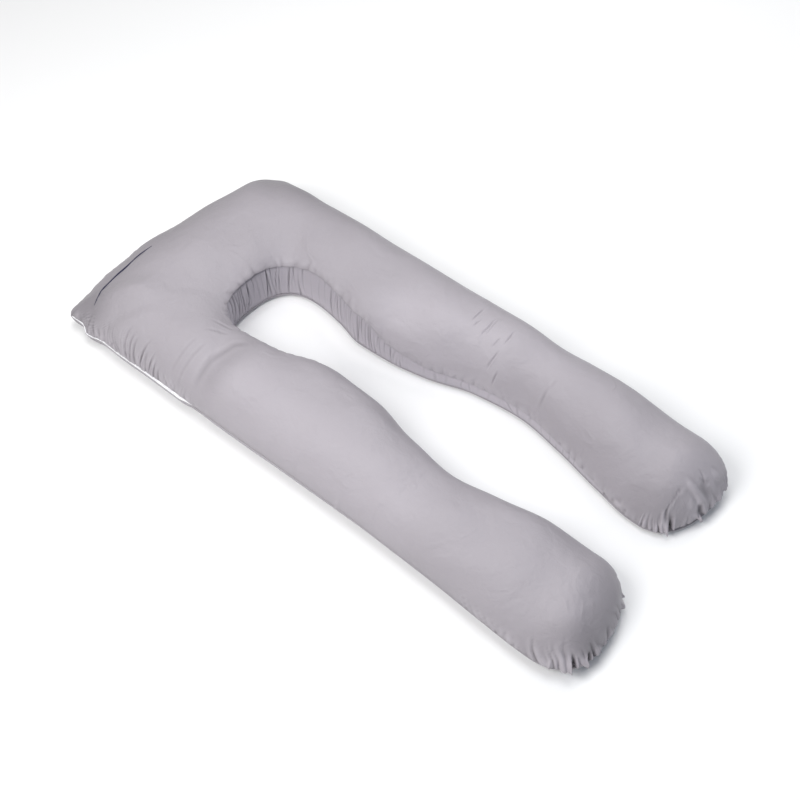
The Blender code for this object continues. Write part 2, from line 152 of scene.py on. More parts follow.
# The near-black strip's line on the head's slope: painted shade along a crease. Its solid lies in the seam,
# about 0.07 away.
CREASE_SHADE_PATH = (
    (-0.684, -0.090),
    (-0.693, -0.125),
    (-0.699, -0.170),
    (-0.705, -0.205),
    (-0.707, -0.235),
    (-0.700, -0.258),
    (-0.695, -0.280),
)
CREASE_SHADE_WIDTH = 0.0052
CREASE_SHADE_PROUD = 0.0006  # how far it stands out of the cloth
CREASE_SHADE_ROWS = 5
ABOVE_ALL = 0.3  # a height that clears the crown
SPAN_EDGE = 0.02  # a let-in piece's groove runs out over this much of t
TRIM_PITCH = 0.0030
ZIP_THICKNESS = 0.0014
CREASE_SHADE_THICKNESS = 0.0012
TOOTH_PITCH = 0.0022
TOOTH_WIDTH = 0.0034
TOOTH_RADIUS = 0.0008
TOOTH_LEVEL = -0.0006
TOOTH_SLANT = 0.35  # how much of a pitch each end of a tooth is set off
TOOTH_MARGIN = 0.006  # how much of t the teeth stop short of the tape's ends
WELT_RADIUS = 0.0011
WELT_SIDES = 6
STITCH_PITCH = 0.0042
STITCH_LENGTH = 0.0028
STITCH_RADIUS = 0.00035
STITCH_SIDES = 5
STITCHES_ABOVE = (0.0030, 0.0035)  # in from the outer seam and up from it
STITCHES_BELOW = 0.0020  # down from the outer seam
STITCHES_INNER = 0.0040  # in and up from the inner seam

# Mesh density: one row for each run of stations.
STATION_RUNS = (
    (0.0, 1.0, 72),
    (1.0, 4 / 3, 132),
    (4 / 3, 5 / 3, 40),
    (5 / 3, 2.0, 26),
    (2.0, 2.36, 28),
    (2.36, 2.56, 54),
    (2.56, 3.0, 34),
)
FOOT_STATIONS = 108
TOP_ROWS = 16
ROW_CROWDING = 1.25
BOTTOM_ROWS = 3
RIM_START = 40  # the mesh's own run along the rim starts at this station
EVEN_SAMPLES = 1200  # points on an edge when it is cut into even steps

# The seam's three inner rows: their share of the way down it and of its depth.
SEAM_ROWS = ((0.22, 0.75), (0.5, 1.0), (0.78, 0.75))

# One row for each stretch where a seam gathers the cloth into puffs: the edge of the U, its
# ends, the distance between the pinched points, the puffs' height and length up from the
# seam, how much they lean, and how much of their height is left at the seam itself.
GATHER_COLUMNS = ("edge", "start", "end", "pitch", "depth", "length", "lean", "lip")
GATHERS = (
    ("outer", 1.250, 1.300, 0.0080, 0.0080, 0.050, 0.90, 0.14),
    ("outer", 1.184, 1.250, 0.0080, 0.0100, 0.066, 0.80, 0.14),
    ("outer", 1.148, 1.182, 0.0075, 0.0120, 0.090, 0.36, 0.14),
    ("outer", 1.088, 1.146, 0.0070, 0.0120, 0.085, 0.15, 0.14),
    ("outer", 1.030, 1.318, 0.0160, 0.0060, 0.065, 0.50, 0.10),
    ("outer", 1.00, 1.09, 0.0140, 0.0026, 0.060, 0.00, 0.12),
    ("outer", 0.94, 1.01, 0.0080, 0.0026, 0.026, 0.20, 0.60),
    ("outer", 0.14, 0.94, 0.0240, 0.0044, 0.036, 0.20, 0.60),
    ("outer", 0.00, 0.20, 0.0190, 0.0070, 0.050, 0.60, 0.80),
    ("outer", 1.35, 1.64, 0.0300, 0.0020, 0.050, 0.00, 0.50),
    ("outer", 1.70, 2.98, 0.0320, 0.0050, 0.050, 0.00, 0.60),
    ("near foot", 0.00, 0.30, 0.0160, 0.0056, 0.032, 0.00, 0.90),
    ("near foot", 0.28, 0.62, 0.0096, 0.0076, 0.036, 0.10, 0.70),
    ("near foot", 0.60, 1.00, 0.0190, 0.0100, 0.064, 0.60, 0.45),
    ("near foot", 0.04, 0.98, 0.0300, 0.0070, 0.075, 0.30, 0.60),
    ("far foot", 0.00, 0.52, 0.0105, 0.0084, 0.044, 0.00, 0.95),
    ("far foot", 0.77, 1.00, 0.0100, 0.0096, 0.044, 0.00, 0.95),
    ("far foot", 0.20, 0.54, 0.0300, 0.0064, 0.070, 0.00, 0.80),
    ("inner", 1.02, 2.04, 0.0120, 0.0006, 0.016, 0.00, 0.70),
    ("inner", 2.04, 2.36, 0.0100, 0.0036, 0.026, 0.00, 0.60),
    ("inner", 2.36, 2.70, 0.0180, 0.0028, 0.034, 0.00, 0.60),
    ("inner", 2.70, 3.00, 0.0110, 0.0064, 0.040, 0.00, 0.80),
    ("inner", 0.00, 0.12, 0.0200, 0.0060, 0.036, 0.00, 0.80),
    ("inner", 0.10, 0.95, 0.0260, 0.0034, 0.040, 0.00, 0.60),
)

# One row for each single pleat that starts at a seam: its edge and place, its width, its
# depth, its length up from the seam and how much it leans.
PLEAT_COLUMNS = ("edge", "place", "width", "depth", "length", "lean")
PLEATS = (
    ("near foot", 0.738, 0.0036, 0.0140, 0.040, 0.10),
    ("near foot", 0.645, 0.0036, 0.0130, 0.030, -0.20),
    ("near foot", 0.600, 0.0035, 0.0090, 0.050, 0.15),
    ("near foot", 0.510, 0.0040, 0.0090, 0.040, -0.30),
    ("far foot", 0.545, 0.0055, 0.0140, 0.030, 0.35),
    ("far foot", 0.765, 0.0045, 0.0120, 0.050, 0.10),
    ("far foot", 0.500, 0.0040, 0.0100, 0.030, -0.20),
    ("outer", 1.268, 0.0022, 0.0050, 0.050, 0.70),
    ("outer", 1.252, 0.0022, 0.0056, 0.056, 0.90),
    ("outer", 1.240, 0.0022, 0.0046, 0.050, 0.90),
    ("outer", 1.222, 0.0024, 0.0036, 0.060, 0.90),
    ("outer", 1.209, 0.0022, 0.0060, 0.080, 0.84),
    ("outer", 1.200, 0.0022, 0.0068, 0.070, 0.80),
    ("outer", 1.190, 0.0022, 0.0064, 0.076, 0.80),
    ("outer", 1.182, 0.0020, 0.0050, 0.050, 0.80),
    ("outer", 1.166, 0.0024, 0.0072, 0.110, 0.36),
    ("outer", 1.156, 0.0022, 0.0076, 0.100, 0.30),
    ("outer", 1.147, 0.0022, 0.0070, 0.090, 0.26),
    ("outer", 1.131, 0.0024, 0.0070, 0.100, 0.10),
    ("outer", 1.121, 0.0022, 0.0064, 0.070, 0.10),
    ("outer", 1.111, 0.0022, 0.0068, 0.076, 0.00),
    ("outer", 1.100, 0.0022, 0.0060, 0.060, 0.00),
    ("outer", 1.090, 0.0022, 0.0046, 0.050, 0.00),
    ("outer", 1.754, 0.0070, 0.0040, 0.050, 0.10),
    ("outer", 1.877, 0.0080, 0.0050, 0.060, -0.10),
    ("outer", 2.000, 0.0080, 0.0050, 0.060, 0.15),
)

# One row for each flap, a pleat laid over to one side: its edge, the place of its corner,
# the side its body lies on, its width, height and length up from the seam.
FLAP_COLUMNS = ("edge", "place", "side", "width", "height", "length")
FLAPS = (
    ("near foot", 0.762, 1, 0.034, 0.0130, 0.038),
    ("near foot", 0.662, 1, 0.026, 0.0100, 0.030),
    ("near foot", 0.565, 1, 0.016, 0.0070, 0.026),
    ("near foot", 0.470, 1, 0.018, 0.0050, 0.024),
    ("near foot", 0.330, -1, 0.026, 0.0100, 0.026),
    ("near foot", 0.262, -1, 0.020, 0.0080, 0.022),
    ("near foot", 0.880, 1, 0.022, 0.0060, 0.026),
    ("far foot", 0.782, 1, 0.030, 0.0100, 0.040),
    ("far foot", 0.565, -1, 0.022, 0.0110, 0.036),
    ("far foot", 0.445, -1, 0.022, 0.0090, 0.026),
    ("far foot", 0.365, -1, 0.026, 0.0070, 0.026),
    ("far foot", 0.860, 1, 0.018, 0.0060, 0.024),
)
FLAP_DROP = 0.003  # how short the step is from a flap's corner down to the cloth under it

# How puffs vary: the shares of their row's own size that are drawn for each of them.
PUFF_PITCHES = (0.5, 1.5)
PUFF_DEPTHS = (0.15, 1.15)
PUFF_LENGTHS = (0.4, 1.15)
PUFF_SPARE = 2.2  # this many times the pitches of an even row are drawn, to fill its stretch
PUFF_LEAST = 0.4  # the last puff is at least this much of the pitch wide
PUFF_ROUNDNESS = 0.7
PUFF_MIDDLE = 0.5  # share of a puff that lies above the smooth cloth

# How a puff's lean wanders along the seam, and how its sides sway on the way up.
LEAN_WANDER = 0.18
LEAN_LENGTHS = (0.06, 0.023)
LEAN_SECOND = 0.4  # share of the second, shorter wave
SWAY = 0.12
SWAY_LENGTHS = (0.012, 0.02)  # up the cloth and along the seam

# How folds die out, in metres, or as powers of the share of their length that is left.
LIP_RISE = 0.006
UNDER_SEAM = 0.004
UNDER_FLAP = 0.003
FADE_POWER = 1.1
FLAP_FADE_POWER = 1.4
FLAP_BODY_POWER = 1.6
PLEAT_WIDENING = 0.7

# How far below and above the seam the gathers are worked out.
GATHERED_FROM = -0.02
GATHERED_TO = 0.2

# A fold's own section, in widths of its trough.
TROUGH_POWER = 1.5
SHOULDER_HEIGHT = 0.42
SHOULDER_PLACE = 1.5
SHOULDER_WIDTH = 0.75

# Where a seam of a foot stands open under the cloth above it: edge, ends and depth.
OPEN_SEAMS = (("far foot", 0.54, 0.77, 0.0070), ("near foot", 0.62, 0.84, 0.0040))
OPEN_EDGE = 0.03

# How the filling's broad unevenness is drawn: waves, their lengths and their height.
LUMP_WAVES = 14
LUMP_LENGTHS = (0.07, 0.20)
LUMP_HEIGHT = 0.0009

# A stroke is a line in plan that a hollow or a tone is deepest along.
STROKE_COLUMNS = ("x0", "y0", "x1", "y1", "width", "depth")

# One stroke for each broad hollow or, with a negative depth, swelling of the stuffing.
HOLLOWS = (
    (-0.386, -0.140, -0.330, -0.237, 0.030, 0.005),
    (-0.330, -0.237, -0.330, -0.330, 0.028, 0.005),
    (-0.480, 0.300, -0.430, 0.120, 0.040, 0.008),
    (-0.100, 0.100, -0.020, 0.300, 0.050, 0.005),
    (-0.660, -0.090, -0.560, 0.120, 0.120, -0.004),
    (0.180, -0.320, 0.260, -0.140, 0.060, 0.005),
    (0.240, 0.150, 0.240, 0.300, 0.060, 0.006),
)

# One stroke for each stretch of deeper or, with a negative depth, lighter tone. They stand in
# for soft shading under this scene's lights and are no dye: a Fold Tone of 0 leaves them out,
# with the deeper tone of the folds.
PAINTED_SHADING_STROKES = (
    (-0.745, -0.310, -0.700, -0.285, 0.045, 0.44),
    (-0.715, -0.280, -0.690, 0.150, 0.056, 0.42),
    (-0.640, 0.270, -0.560, 0.290, 0.070, 0.60),
    (-0.480, 0.290, -0.380, 0.280, 0.070, 0.36),
    (0.716, -0.230, 0.690, -0.130, 0.056, 0.34),
    (0.690, -0.270, 0.610, -0.340, 0.036, 0.34),
    (0.600, 0.090, 0.670, 0.100, 0.045, 0.34),
    (0.690, 0.165, 0.676, 0.245, 0.030, -0.34),
    (-0.296, -0.185, -0.310, -0.280, 0.030, 0.36),
    (-0.100, 0.110, 0.120, 0.150, 0.050, -0.50),
    (-0.060, 0.180, 0.240, 0.230, 0.080, -0.20),
    (-0.240, -0.270, 0.200, -0.280, 0.080, -0.26),
)

# One row for each single crease, or ridge where its depth is negative: its width, its depth
# and the points in plan that it runs through.
CREASES = (
    (0.0020, 0.0022, (0.050, 0.199), (0.051, 0.222), (0.050, 0.245)),
    (0.0020, 0.0027, (0.088, 0.183), (0.091, 0.210), (0.089, 0.235)),
    (0.0018, 0.0022, (0.097, 0.190), (0.096, 0.238)),
    (0.0020, 0.0022, (0.125, 0.176), (0.128, 0.190), (0.130, 0.201)),
    (0.0020, 0.0024, (0.146, 0.196), (0.147, 0.215), (0.144, 0.233)),
    (0.0020, 0.0026, (0.137, 0.144), (0.140, 0.160), (0.144, 0.177)),
    (0.0020, 0.0026, (0.159, 0.136), (0.162, 0.150)),
    (0.0030, 0.0018, (0.279, 0.131), (0.284, 0.160), (0.290, 0.195)),
    (0.0018, 0.0024, (0.060, 0.190), (0.066, 0.215)),
    (0.0036, 0.0018, (-0.412, -0.170), (-0.385, -0.160), (-0.360, -0.154)),
    (0.0036, 0.0016, (-0.400, -0.202), (-0.378, -0.186), (-0.355, -0.176)),
    (0.0080, 0.0018, (-0.296, -0.165), (-0.320, -0.192), (-0.338, -0.249), (-0.342, -0.312)),
    (0.0040, 0.0009, (-0.372, -0.225), (-0.389, -0.322)),
    (0.0040, 0.0007, (-0.398, -0.230), (-0.412, -0.310)),
    (0.0060, -0.0036, (0.655, 0.163), (0.672, 0.169), (0.688, 0.172), (0.706, 0.186)),
    (0.0120, 0.0034, (0.676, 0.190), (0.692, 0.192), (0.708, 0.197)),
    (0.0022, 0.0018, (0.651, 0.150), (0.650, 0.134)),
    (0.0022, 0.0018, (0.652, 0.138), (0.650, 0.120)),
    (0.0022, 0.0016, (0.656, 0.146), (0.657, 0.122)),
    (0.0022, 0.0016, (0.649, 0.118), (0.651, 0.104)),
    (0.0030, -0.0014, (0.660, 0.160), (0.656, 0.140), (0.654, 0.112)),
    (0.0090, -0.0016, (0.676, 0.152), (0.688, 0.150)),
    (0.0030, 0.0030, (0.648, 0.108), (0.654, 0.101), (0.664, 0.094)),
    (0.0035, -0.0026, (0.644, 0.100), (0.656, 0.088)),
    (0.0050, 0.0060, (0.698, 0.160), (0.704, 0.173)),
    (0.0024, 0.0060, (0.672, 0.090), (0.695, 0.118), (0.706, 0.148), (0.704, 0.166)),
    (0.0030, 0.0016, (0.660, 0.204), (0.682, 0.198)),
    (0.0030, 0.0020, (0.669, 0.190), (0.682, 0.200), (0.689, 0.216)),
    (0.0070, -0.0030, (0.684, 0.226), (0.695, 0.240)),
    (0.0035, 0.0020, (-0.684, -0.090), (-0.699, -0.170), (-0.705, -0.221), (-0.695, -0.280)),
)

# One row for each stretch of the band: its ends, the distance between its creases, their
# width and depth.
BAND_CREASE_COLUMNS = ("start", "end", "pitch", "width", "depth")
BAND_CREASES = (
    (0.12, 1.02, 0.0220, 0.0030, 0.0030),
    (1.02, 1.50, 0.0060, 0.0019, 0.0066),
    (1.50, 1.62, 0.0200, 0.0024, 0.0030),
    (1.62, 1.72, 0.0060, 0.0018, 0.0062),
    (1.72, 1.80, 0.0200, 0.0024, 0.0030),
    (1.80, 1.92, 0.0070, 0.0018, 0.0056),
    (1.92, 2.06, 0.0300, 0.0022, 0.0014),
    (2.06, 2.30, 0.0090, 0.0020, 0.0040),
    (2.30, 2.88, 0.0280, 0.0030, 0.0022),
)

# One row for each stretch where extra cloth is eased into the seam before it settles: its
# edge and its ends.
EASED = (
    ("near foot", 0.00, 1.00),
    ("far foot", 0.20, 1.00),
    ("outer", 1.00, 1.33),
    ("outer", 0.00, 0.10),
    ("inner", 2.80, 3.00),
)
EASED_EDGE = 0.06  # the ease runs out over this much of the rim
LEAST_EASE = 0.01  # less extra cloth than this is left out
CLOTH_QUALITY = 4
CLOTH_STIFFNESS = 0.3

# The stuffing is uneven where the cloth is higher than this, fully so this much further up,
# and creases lie where it is this far above the seam and faces up this much.
UNEVEN_FROM = 0.04
UNEVEN_OVER = 0.07
CREASED_RISE = 0.02
CREASED_TILT = 0.2

# Finish: heights of the crumples, the band's own stretch of them, and the limits of the painted shade and
# light.
CLOTH_CRUMPLE = 0.0035
BAND_CRUMPLE = 0.0012
BAND_STRETCH = (1.0, 1.0, 0.35)
DEEPEST_PAINTED_SHADE = 0.6  # most of the colour that painted shade takes away, in a fold or a deeper stroke
LIGHTEST_PAINTED_LIGHT = 1.16  # most of the colour that is left where painted light lies, on a ridge or a lighter stroke

# Studio: each softbox is named as its power in the settings.
WHITE = (1.0, 1.0, 1.0)
COOL = (0.62, 0.76, 1.0)
SOFTBOXES = (
    ("overhead", (-0.15, 0.0, 3.8), WHITE),
    ("front", (-0.38, -2.15, 2.6), WHITE),
    ("back", (-0.2, 2.18, 2.6), WHITE),
    ("foot", (2.37, 0.42, 2.4), COOL),
)
SOFTBOX_SIZE = 1.8
FLOOR_HALF = 6.0
SENSOR_WIDTH = 36.0

SEED = 7


# Helpers --------------------------------------------------------------------------------
def column(rows, columns, name):
    place = columns.index(name)
    return np.array([row[place] for row in rows], float)


def rows_of(table, columns):
    return [dict(zip(columns, values)) for values in table]


def through(xs, ys, x):
    """A smooth curve through the rows that never overshoots them (monotone cubic)."""
    step = np.diff(xs)
    slope = np.diff(ys) / step
    tangent = np.zeros(len(xs))
    same = slope[:-1] * slope[1:] > 0
    near, far = slope[:-1][same], slope[1:][same]
    tangent[1:-1][same] = 2 * near * far / (near + far)
    i = np.clip(np.searchsorted(xs, x) - 1, 0, len(xs) - 2)
    f = np.clip((x - xs[i]) / step[i], 0, 1)
    rise = f * f * (3 - 2 * f)
    bent = f * (1 - f) ** 2 * tangent[i] + f * f * (f - 1) * tangent[i + 1]
    return ys[i] + (ys[i + 1] - ys[i]) * rise + step[i] * bent


def ease(value):
    value = np.clip(value, 0.0, 1.0)
    return value * value * (3 - 2 * value)


def within(t, span, edge):
    """1 inside the span, easing to 0 over the edge's width on both sides of it."""
    return ease((t - span[0]) / edge + 1) * ease((span[1] - t) / edge + 1)


def leg_value(name, x):
    return through(column(LEG_SECTIONS, LEG_COLUMNS, "x"), column(LEG_SECTIONS, LEG_COLUMNS, name), x)


def seam_value(name, t):
    return through(column(SEAM_SECTIONS, SEAM_COLUMNS, "t"), column(SEAM_SECTIONS, SEAM_COLUMNS, name), t)


def unit(vectors):
    return vectors / np.maximum(np.linalg.norm(vectors, axis=-1, keepdims=True), 1e-9)


def run_along(path):
    """How far along a path each of its points lies."""
    return np.concatenate([[0], np.cumsum(np.linalg.norm(np.diff(path, axis=0), axis=1))])


# The lines of the U ---------------------------------------------------------------------
def filleted(corners, radii, steps=24):
    """Points along straight runs that are joined by arcs."""
    points = [np.array(corners[0])]
    for before, corner, after, radius in zip(corners, corners[1:], corners[2:], radii):
        corner = np.array(corner)
        back, ahead = unit(np.array(before) - corner), unit(np.array(after) - corner)
        half = np.arccos(np.clip(back @ ahead, -1, 1)) / 2
        middle, side = unit(back + ahead), unit(ahead - back)
        centre = corner + middle * radius / sin(half)
        for turn in np.linspace(half - pi / 2, pi / 2 - half, steps):
            points.append(centre - radius * (middle * cos(turn) - side * sin(turn)))
    points.append(np.array(corners[-1]))
    return np.array(points)


def head_outline(t):
    """Outer seam round the head end; the corners are a third and two thirds along."""
    corners = (
        (BEND_CENTRE_X, -leg_value("near_out", BEND_CENTRE_X)),
        HEAD_NEAR_CORNER,
        HEAD_FAR_CORNER,
        (BEND_CENTRE_X, leg_value("far_out", BEND_CENTRE_X)),
    )
    path = filleted(corners, (HEAD_NEAR_RADIUS, HEAD_FAR_RADIUS))
    length = run_along(path)
    at_corner = [
        length[np.argmin(np.linalg.norm(path - corner, axis=1))]
        for corner in (HEAD_NEAR_CORNER, HEAD_FAR_CORNER)
    ]
    run = np.interp(t, (1, 4 / 3, 5 / 3, 2), (0, *at_corner, length[-1]))
    point = np.stack([np.interp(run, length, path[:, axis]) for axis in (0, 1)], axis=-1)
    between = np.clip((t - 4 / 3) * 3, 0, 1)
    point[..., 0] -= HEAD_BOW * np.sin(pi * between)
    return point


def station_places():
    runs = (np.linspace(*row, endpoint=False) for row in STATION_RUNS)
    return np.concatenate([*runs, [STATION_RUNS[-1][1]]])


def squared(turn):
    return np.sign(turn) * np.abs(turn) ** (2 / BEND_SQUARENESS)


def stations(t):
    """Outer and inner seam points in plan, and the heights of crown and band, at each t."""
    along = np.where(t < 1, 1 - t, t - 2)
    x = BEND_CENTRE_X + (FOOT_CENTRE_X - BEND_CENTRE_X) * np.clip(along, 0, 1)
    near = t < 1.5
    side = np.where(near, -1, 1)
    half_out = np.where(near, leg_value("near_out", x), leg_value("far_out", x))
    half_in = np.where(near, leg_value("near_in", x), leg_value("far_in", x))
    outer = np.stack([x, side * half_out], axis=-1)
    inner = np.stack([x, side * half_in], axis=-1)
    bend = ((t >= 1) & (t <= 2))[..., None]
    angle = (np.clip(t, 1, 2) - 1.5) * pi
    near_bend, far_bend = (leg_value(name, BEND_CENTRE_X) for name in ("near_in", "far_in"))
    reach, swing = squared(np.cos(angle)), squared(np.sin(angle))
    arc_x = BEND_CENTRE_X - BEND_REACH * reach * (1 - BEND_SKEW * swing)
    arc_y = (far_bend - near_bend) / 2 + (far_bend + near_bend) / 2 * swing
    outer = np.where(bend, head_outline(t), outer)
    inner = np.where(bend, np.stack([arc_x, arc_y], axis=-1), inner)
    return outer, inner, leg_value("crown", x), leg_value("band_top", x)


class Rim:
    """Points along the seams, each with the station line it lies on and its heights."""

    def __init__(self, **fields):
        self.__dict__.update(fields)

    def part(self, index):
        return Rim(**{name: values[index] for name, values in vars(self).items()})

    @staticmethod
    def joined(rims):
        return Rim(**{n: np.concatenate([vars(rim)[n] for rim in rims]) for n in vars(rims[0])})

    @property
    def reach(self):
        return np.linalg.norm(self.point - self.spine, axis=1)

    def place(self, outwards, height):
        """Points this far out from the rim, at this height."""
        out = unit(self.point - self.spine)
        return np.column_stack([self.point + out * np.asarray(outwards)[:, None], height])

    def slot(self, run, depth):
        """Points on the seam's face: run down from its upper edge, depth into it."""
        fall = np.hypot(self.ledge, self.drop)
        down = np.column_stack([self.ledge, -self.drop]) / fall[:, None]
        into = np.column_stack([down[:, 1], -down[:, 0]])
        spot = down * np.asarray(run)[:, None] + into * np.asarray(depth)[:, None]
        return self.place(spot[:, 0], self.upper + spot[:, 1])


def outer_edge(t):
    outer, inner, crown, _ = stations(t)
    zipped = within(t, ZIP_SPAN, SPAN_EDGE)
    wide = zipped * seam_value("zip", t)
    spine = (outer + inner) / 2
    outer = outer + unit(outer - spine) * seam_value("wander", t)[:, None]
    return Rim(
        point=outer,
        spine=spine,
        crown=crown,
        upper=seam_value("seam_z", t),
        drop=SEAM_DROP + (ZIP_DROP - SEAM_DROP) * wide,
        ledge=ZIP_LEDGE * wide,
        swell=seam_value("swell", t),
        inset=np.full(len(t), CONTACT_INSET_OUTER),
        groove=ZIP_DEPTH * zipped,
        open=zipped,
    )


def inner_edge(t):
    outer, inner, crown, band_top = stations(t)
    nothing = np.zeros(len(t))
    banded = within(t, BAND_SPAN, SPAN_EDGE)
    return Rim(
        point=inner,
        spine=(outer + inner) / 2,
        crown=crown,
        upper=band_top,
        drop=band_top - LOWER_SEAM_Z,
        ledge=nothing,
        swell=nothing,
        inset=np.full(len(t), CONTACT_INSET_INNER),
        groove=BAND_DEPTH * banded,
        open=banded,
    )


def foot_edge(start, end, reach, skew):
    """The round end of a leg, from one edge's last point to the other's first."""
    turn = np.linspace(-pi / 2, pi / 2, FOOT_STATIONS + 2)[1:-1]
    middle = (start.point + end.point) / 2
    half = (end.point - start.point) / 2
    power = 2 / FOOT_SQUARENESS
    across = np.sign(np.sin(turn)) * np.abs(np.sin(turn)) ** power
    point = middle + half * across[:, None]
    point[:, 0] += np.cos(turn) ** power * reach * (1 + skew * np.sin(turn))
    share = ease((1 + np.sin(turn)) / 2)

    def blend(name):
        first, last = vars(start)[name], vars(end)[name]
        return first + (last - first) * share

    same = ("crown", "upper", "drop", "ledge", "swell", "inset")
    return Rim(
        point=point,
        spine=np.repeat(middle, len(turn), axis=0),
        groove=np.zeros(len(turn)),
        open=np.zeros(len(turn)),
        **{name: blend(name) for name in same},
    )


def whole_rim():
    """The closed rim, the edge and place of each of its points, and its station lines."""
    t = station_places()
    outer, inner = outer_edge(t), inner_edge(t[::-1])
    first, last = slice(0, 1), slice(-1, None)
    far = foot_edge(outer.part(last), inner.part(first), FOOT_REACH_FAR, -FOOT_SKEW)
    near = foot_edge(inner.part(last), outer.part(first), FOOT_REACH_NEAR, FOOT_SKEW)
    rim = Rim.joined([outer, far, inner, near])
    foot = np.linspace(0, 1, FOOT_STATIONS)
    lines = np.arange(len(t))
    foot_line = np.full(FOOT_STATIONS, 0)
    places = (("outer", t, lines), ("far foot", foot, foot_line + lines[-1]))
    places += (("inner", t[::-1], lines[::-1]), ("near foot", foot, foot_line))
    edge = np.concatenate([[name] * len(place) for name, place, _ in places])
    place = np.concatenate([place for _, place, _ in places])
    line = np.concatenate([line for *_, line in places])
    for name, start, end, depth in OPEN_SEAMS:
        rim.groove += depth * within(place, (start, end), OPEN_EDGE) * (edge == name)
    turned = (np.arange(len(line)) + RIM_START) % len(line)
    rim = rim.part(turned)
    return rim, edge[turned], place[turned], line[turned]


def profile_fullness(rim, shape):
    """Fullness of each profile: rounder at the feet, sloping to the head, thin at its corners."""
    past = ease((rim.point[:, 0] - FOOT_CENTRE_X + shape.foot_size) / shape.foot_size)
    full = shape.fullness + (shape.foot_fullness - shape.fullness) * past
    full += shape.side_difference * unit(rim.point - rim.spine)[:, 1]
    ahead = ease((HEAD_SLOPE_START - rim.point[:, 0]) / HEAD_SLOPE_EASE)
    full -= (shape.fullness - shape.head_fullness) * ahead
    thinning = shape.head_fullness - shape.corner_fullness
    for corner, weight in ((HEAD_NEAR_CORNER, 1.0), (HEAD_FAR_CORNER, FAR_CORNER_WEIGHT)):
        away = np.linalg.norm(rim.point - corner, axis=1)
        full -= thinning * weight * (1 - ease(away / shape.corner_size))
    return np.maximum(full, shape.corner_fullness)


def body_rows(rim, shape):
    """Rows of points from the crown over the seam to the floor."""
    power = 2 / profile_fullness(rim, shape)
    rows = []
    for k in range(1, TOP_ROWS + 1):
        turn = pi / 2 * (1 - (1 - k / TOP_ROWS) ** ROW_CROWDING)
        height = cos(turn) ** power if k < TOP_ROWS else np.zeros(len(power))
        z = rim.upper + (rim.crown - rim.upper) * height
        rows.append(rim.place(rim.reach * (sin(turn) ** power - 1), z))
    fall = np.hypot(rim.ledge, rim.drop)
    middle = np.clip(fall * 0.5, GROOVE_LIP, fall - GROOVE_LIP)
    groove_runs = (GROOVE_LIP, middle, fall - GROOVE_LIP)
    for (share, depth), let_in in zip(SEAM_ROWS, groove_runs):
        run = fall * share * (1 - rim.open) + let_in * rim.open
        rows.append(rim.slot(run, SEAM_VALLEY * depth * (1 - rim.open) + rim.groove))
    rows.append(rim.slot(fall, np.zeros(len(fall))))
    lower = rim.upper - rim.drop
    for k in range(1, BOTTOM_ROWS + 1):
        turn = pi / 2 * k / BOTTOM_ROWS
        inwards = rim.swell * sin(2 * turn) - rim.inset * (1 - cos(turn))
        rows.append(rim.place(rim.ledge + inwards, lower * (1 - sin(turn))))
    return np.array(rows)


# Relief ---------------------------------------------------------------------------------
def away_from(points, path):
    """Distance in plan from each point to a path, and how far along it they lie, 0 to 1."""
    path = np.array(path, float)
    lengths = np.linalg.norm(np.diff(path, axis=0), axis=1)
    nearest, along = np.full(len(points), np.inf), np.zeros(len(points))
    for number, (start, end) in enumerate(zip(path, path[1:])):
        run = np.clip((points[:, :2] - start) @ (end - start) / lengths[number] ** 2, 0, 1)
        away = np.linalg.norm(points[:, :2] - start - run[:, None] * (end - start), axis=1)
        closer = away < nearest
        nearest[closer] = away[closer]
        along[closer] = (lengths[:number].sum() + run[closer] * lengths[number]) / lengths.sum()
    return nearest, along


def strokes(points, table):
    """Depth of soft-edged strokes, each deepest along its own line in plan."""
    depth = np.zeros(len(points))
    for row in rows_of(table, STROKE_COLUMNS):
        away, _ = away_from(points, ((row["x0"], row["y0"]), (row["x1"], row["y1"])))
        depth += row["depth"] * np.exp(-((away / row["width"]) ** 2))
    return depth


def fold_shape(x):
    """Across a fold: a pinched trough between two soft shoulders."""
    shoulders = np.exp(-(((np.abs(x) - SHOULDER_PLACE) / SHOULDER_WIDTH) ** 2))
    return -np.exp(-np.abs(x) ** TROUGH_POWER) + SHOULDER_HEIGHT * shoulders


def creases(points):
    height = np.zeros(len(points))
    for width, deep, *path in CREASES:
        away, along = away_from(points, path)
        middle = np.clip(1 - (2 * along - 1) ** 4, 0, 1)
        height += deep * middle * fold_shape(away / width)
    return height


def lumps(points):
    """The filling's broad unevenness, as a sum of waves in drawn directions."""
    draw = np.random.default_rng(SEED + 90)
    height = np.zeros(len(points))
    for _ in range(LUMP_WAVES):
        way = unit(draw.normal(size=3)) * 2 * pi / draw.uniform(*LUMP_LENGTHS)
        height += LUMP_HEIGHT * np.sin(points @ way + draw.uniform(0, 2 * pi))
    return height


def place_runs(name, places, rim_run, edge, place):
    """Runs along the rim of places on one of its edges."""
    mine = np.nonzero(edge == name)[0]
    order = mine[np.argsort(place[mine], kind="stable")]
    return np.interp(places, place[order], rim_run[order])


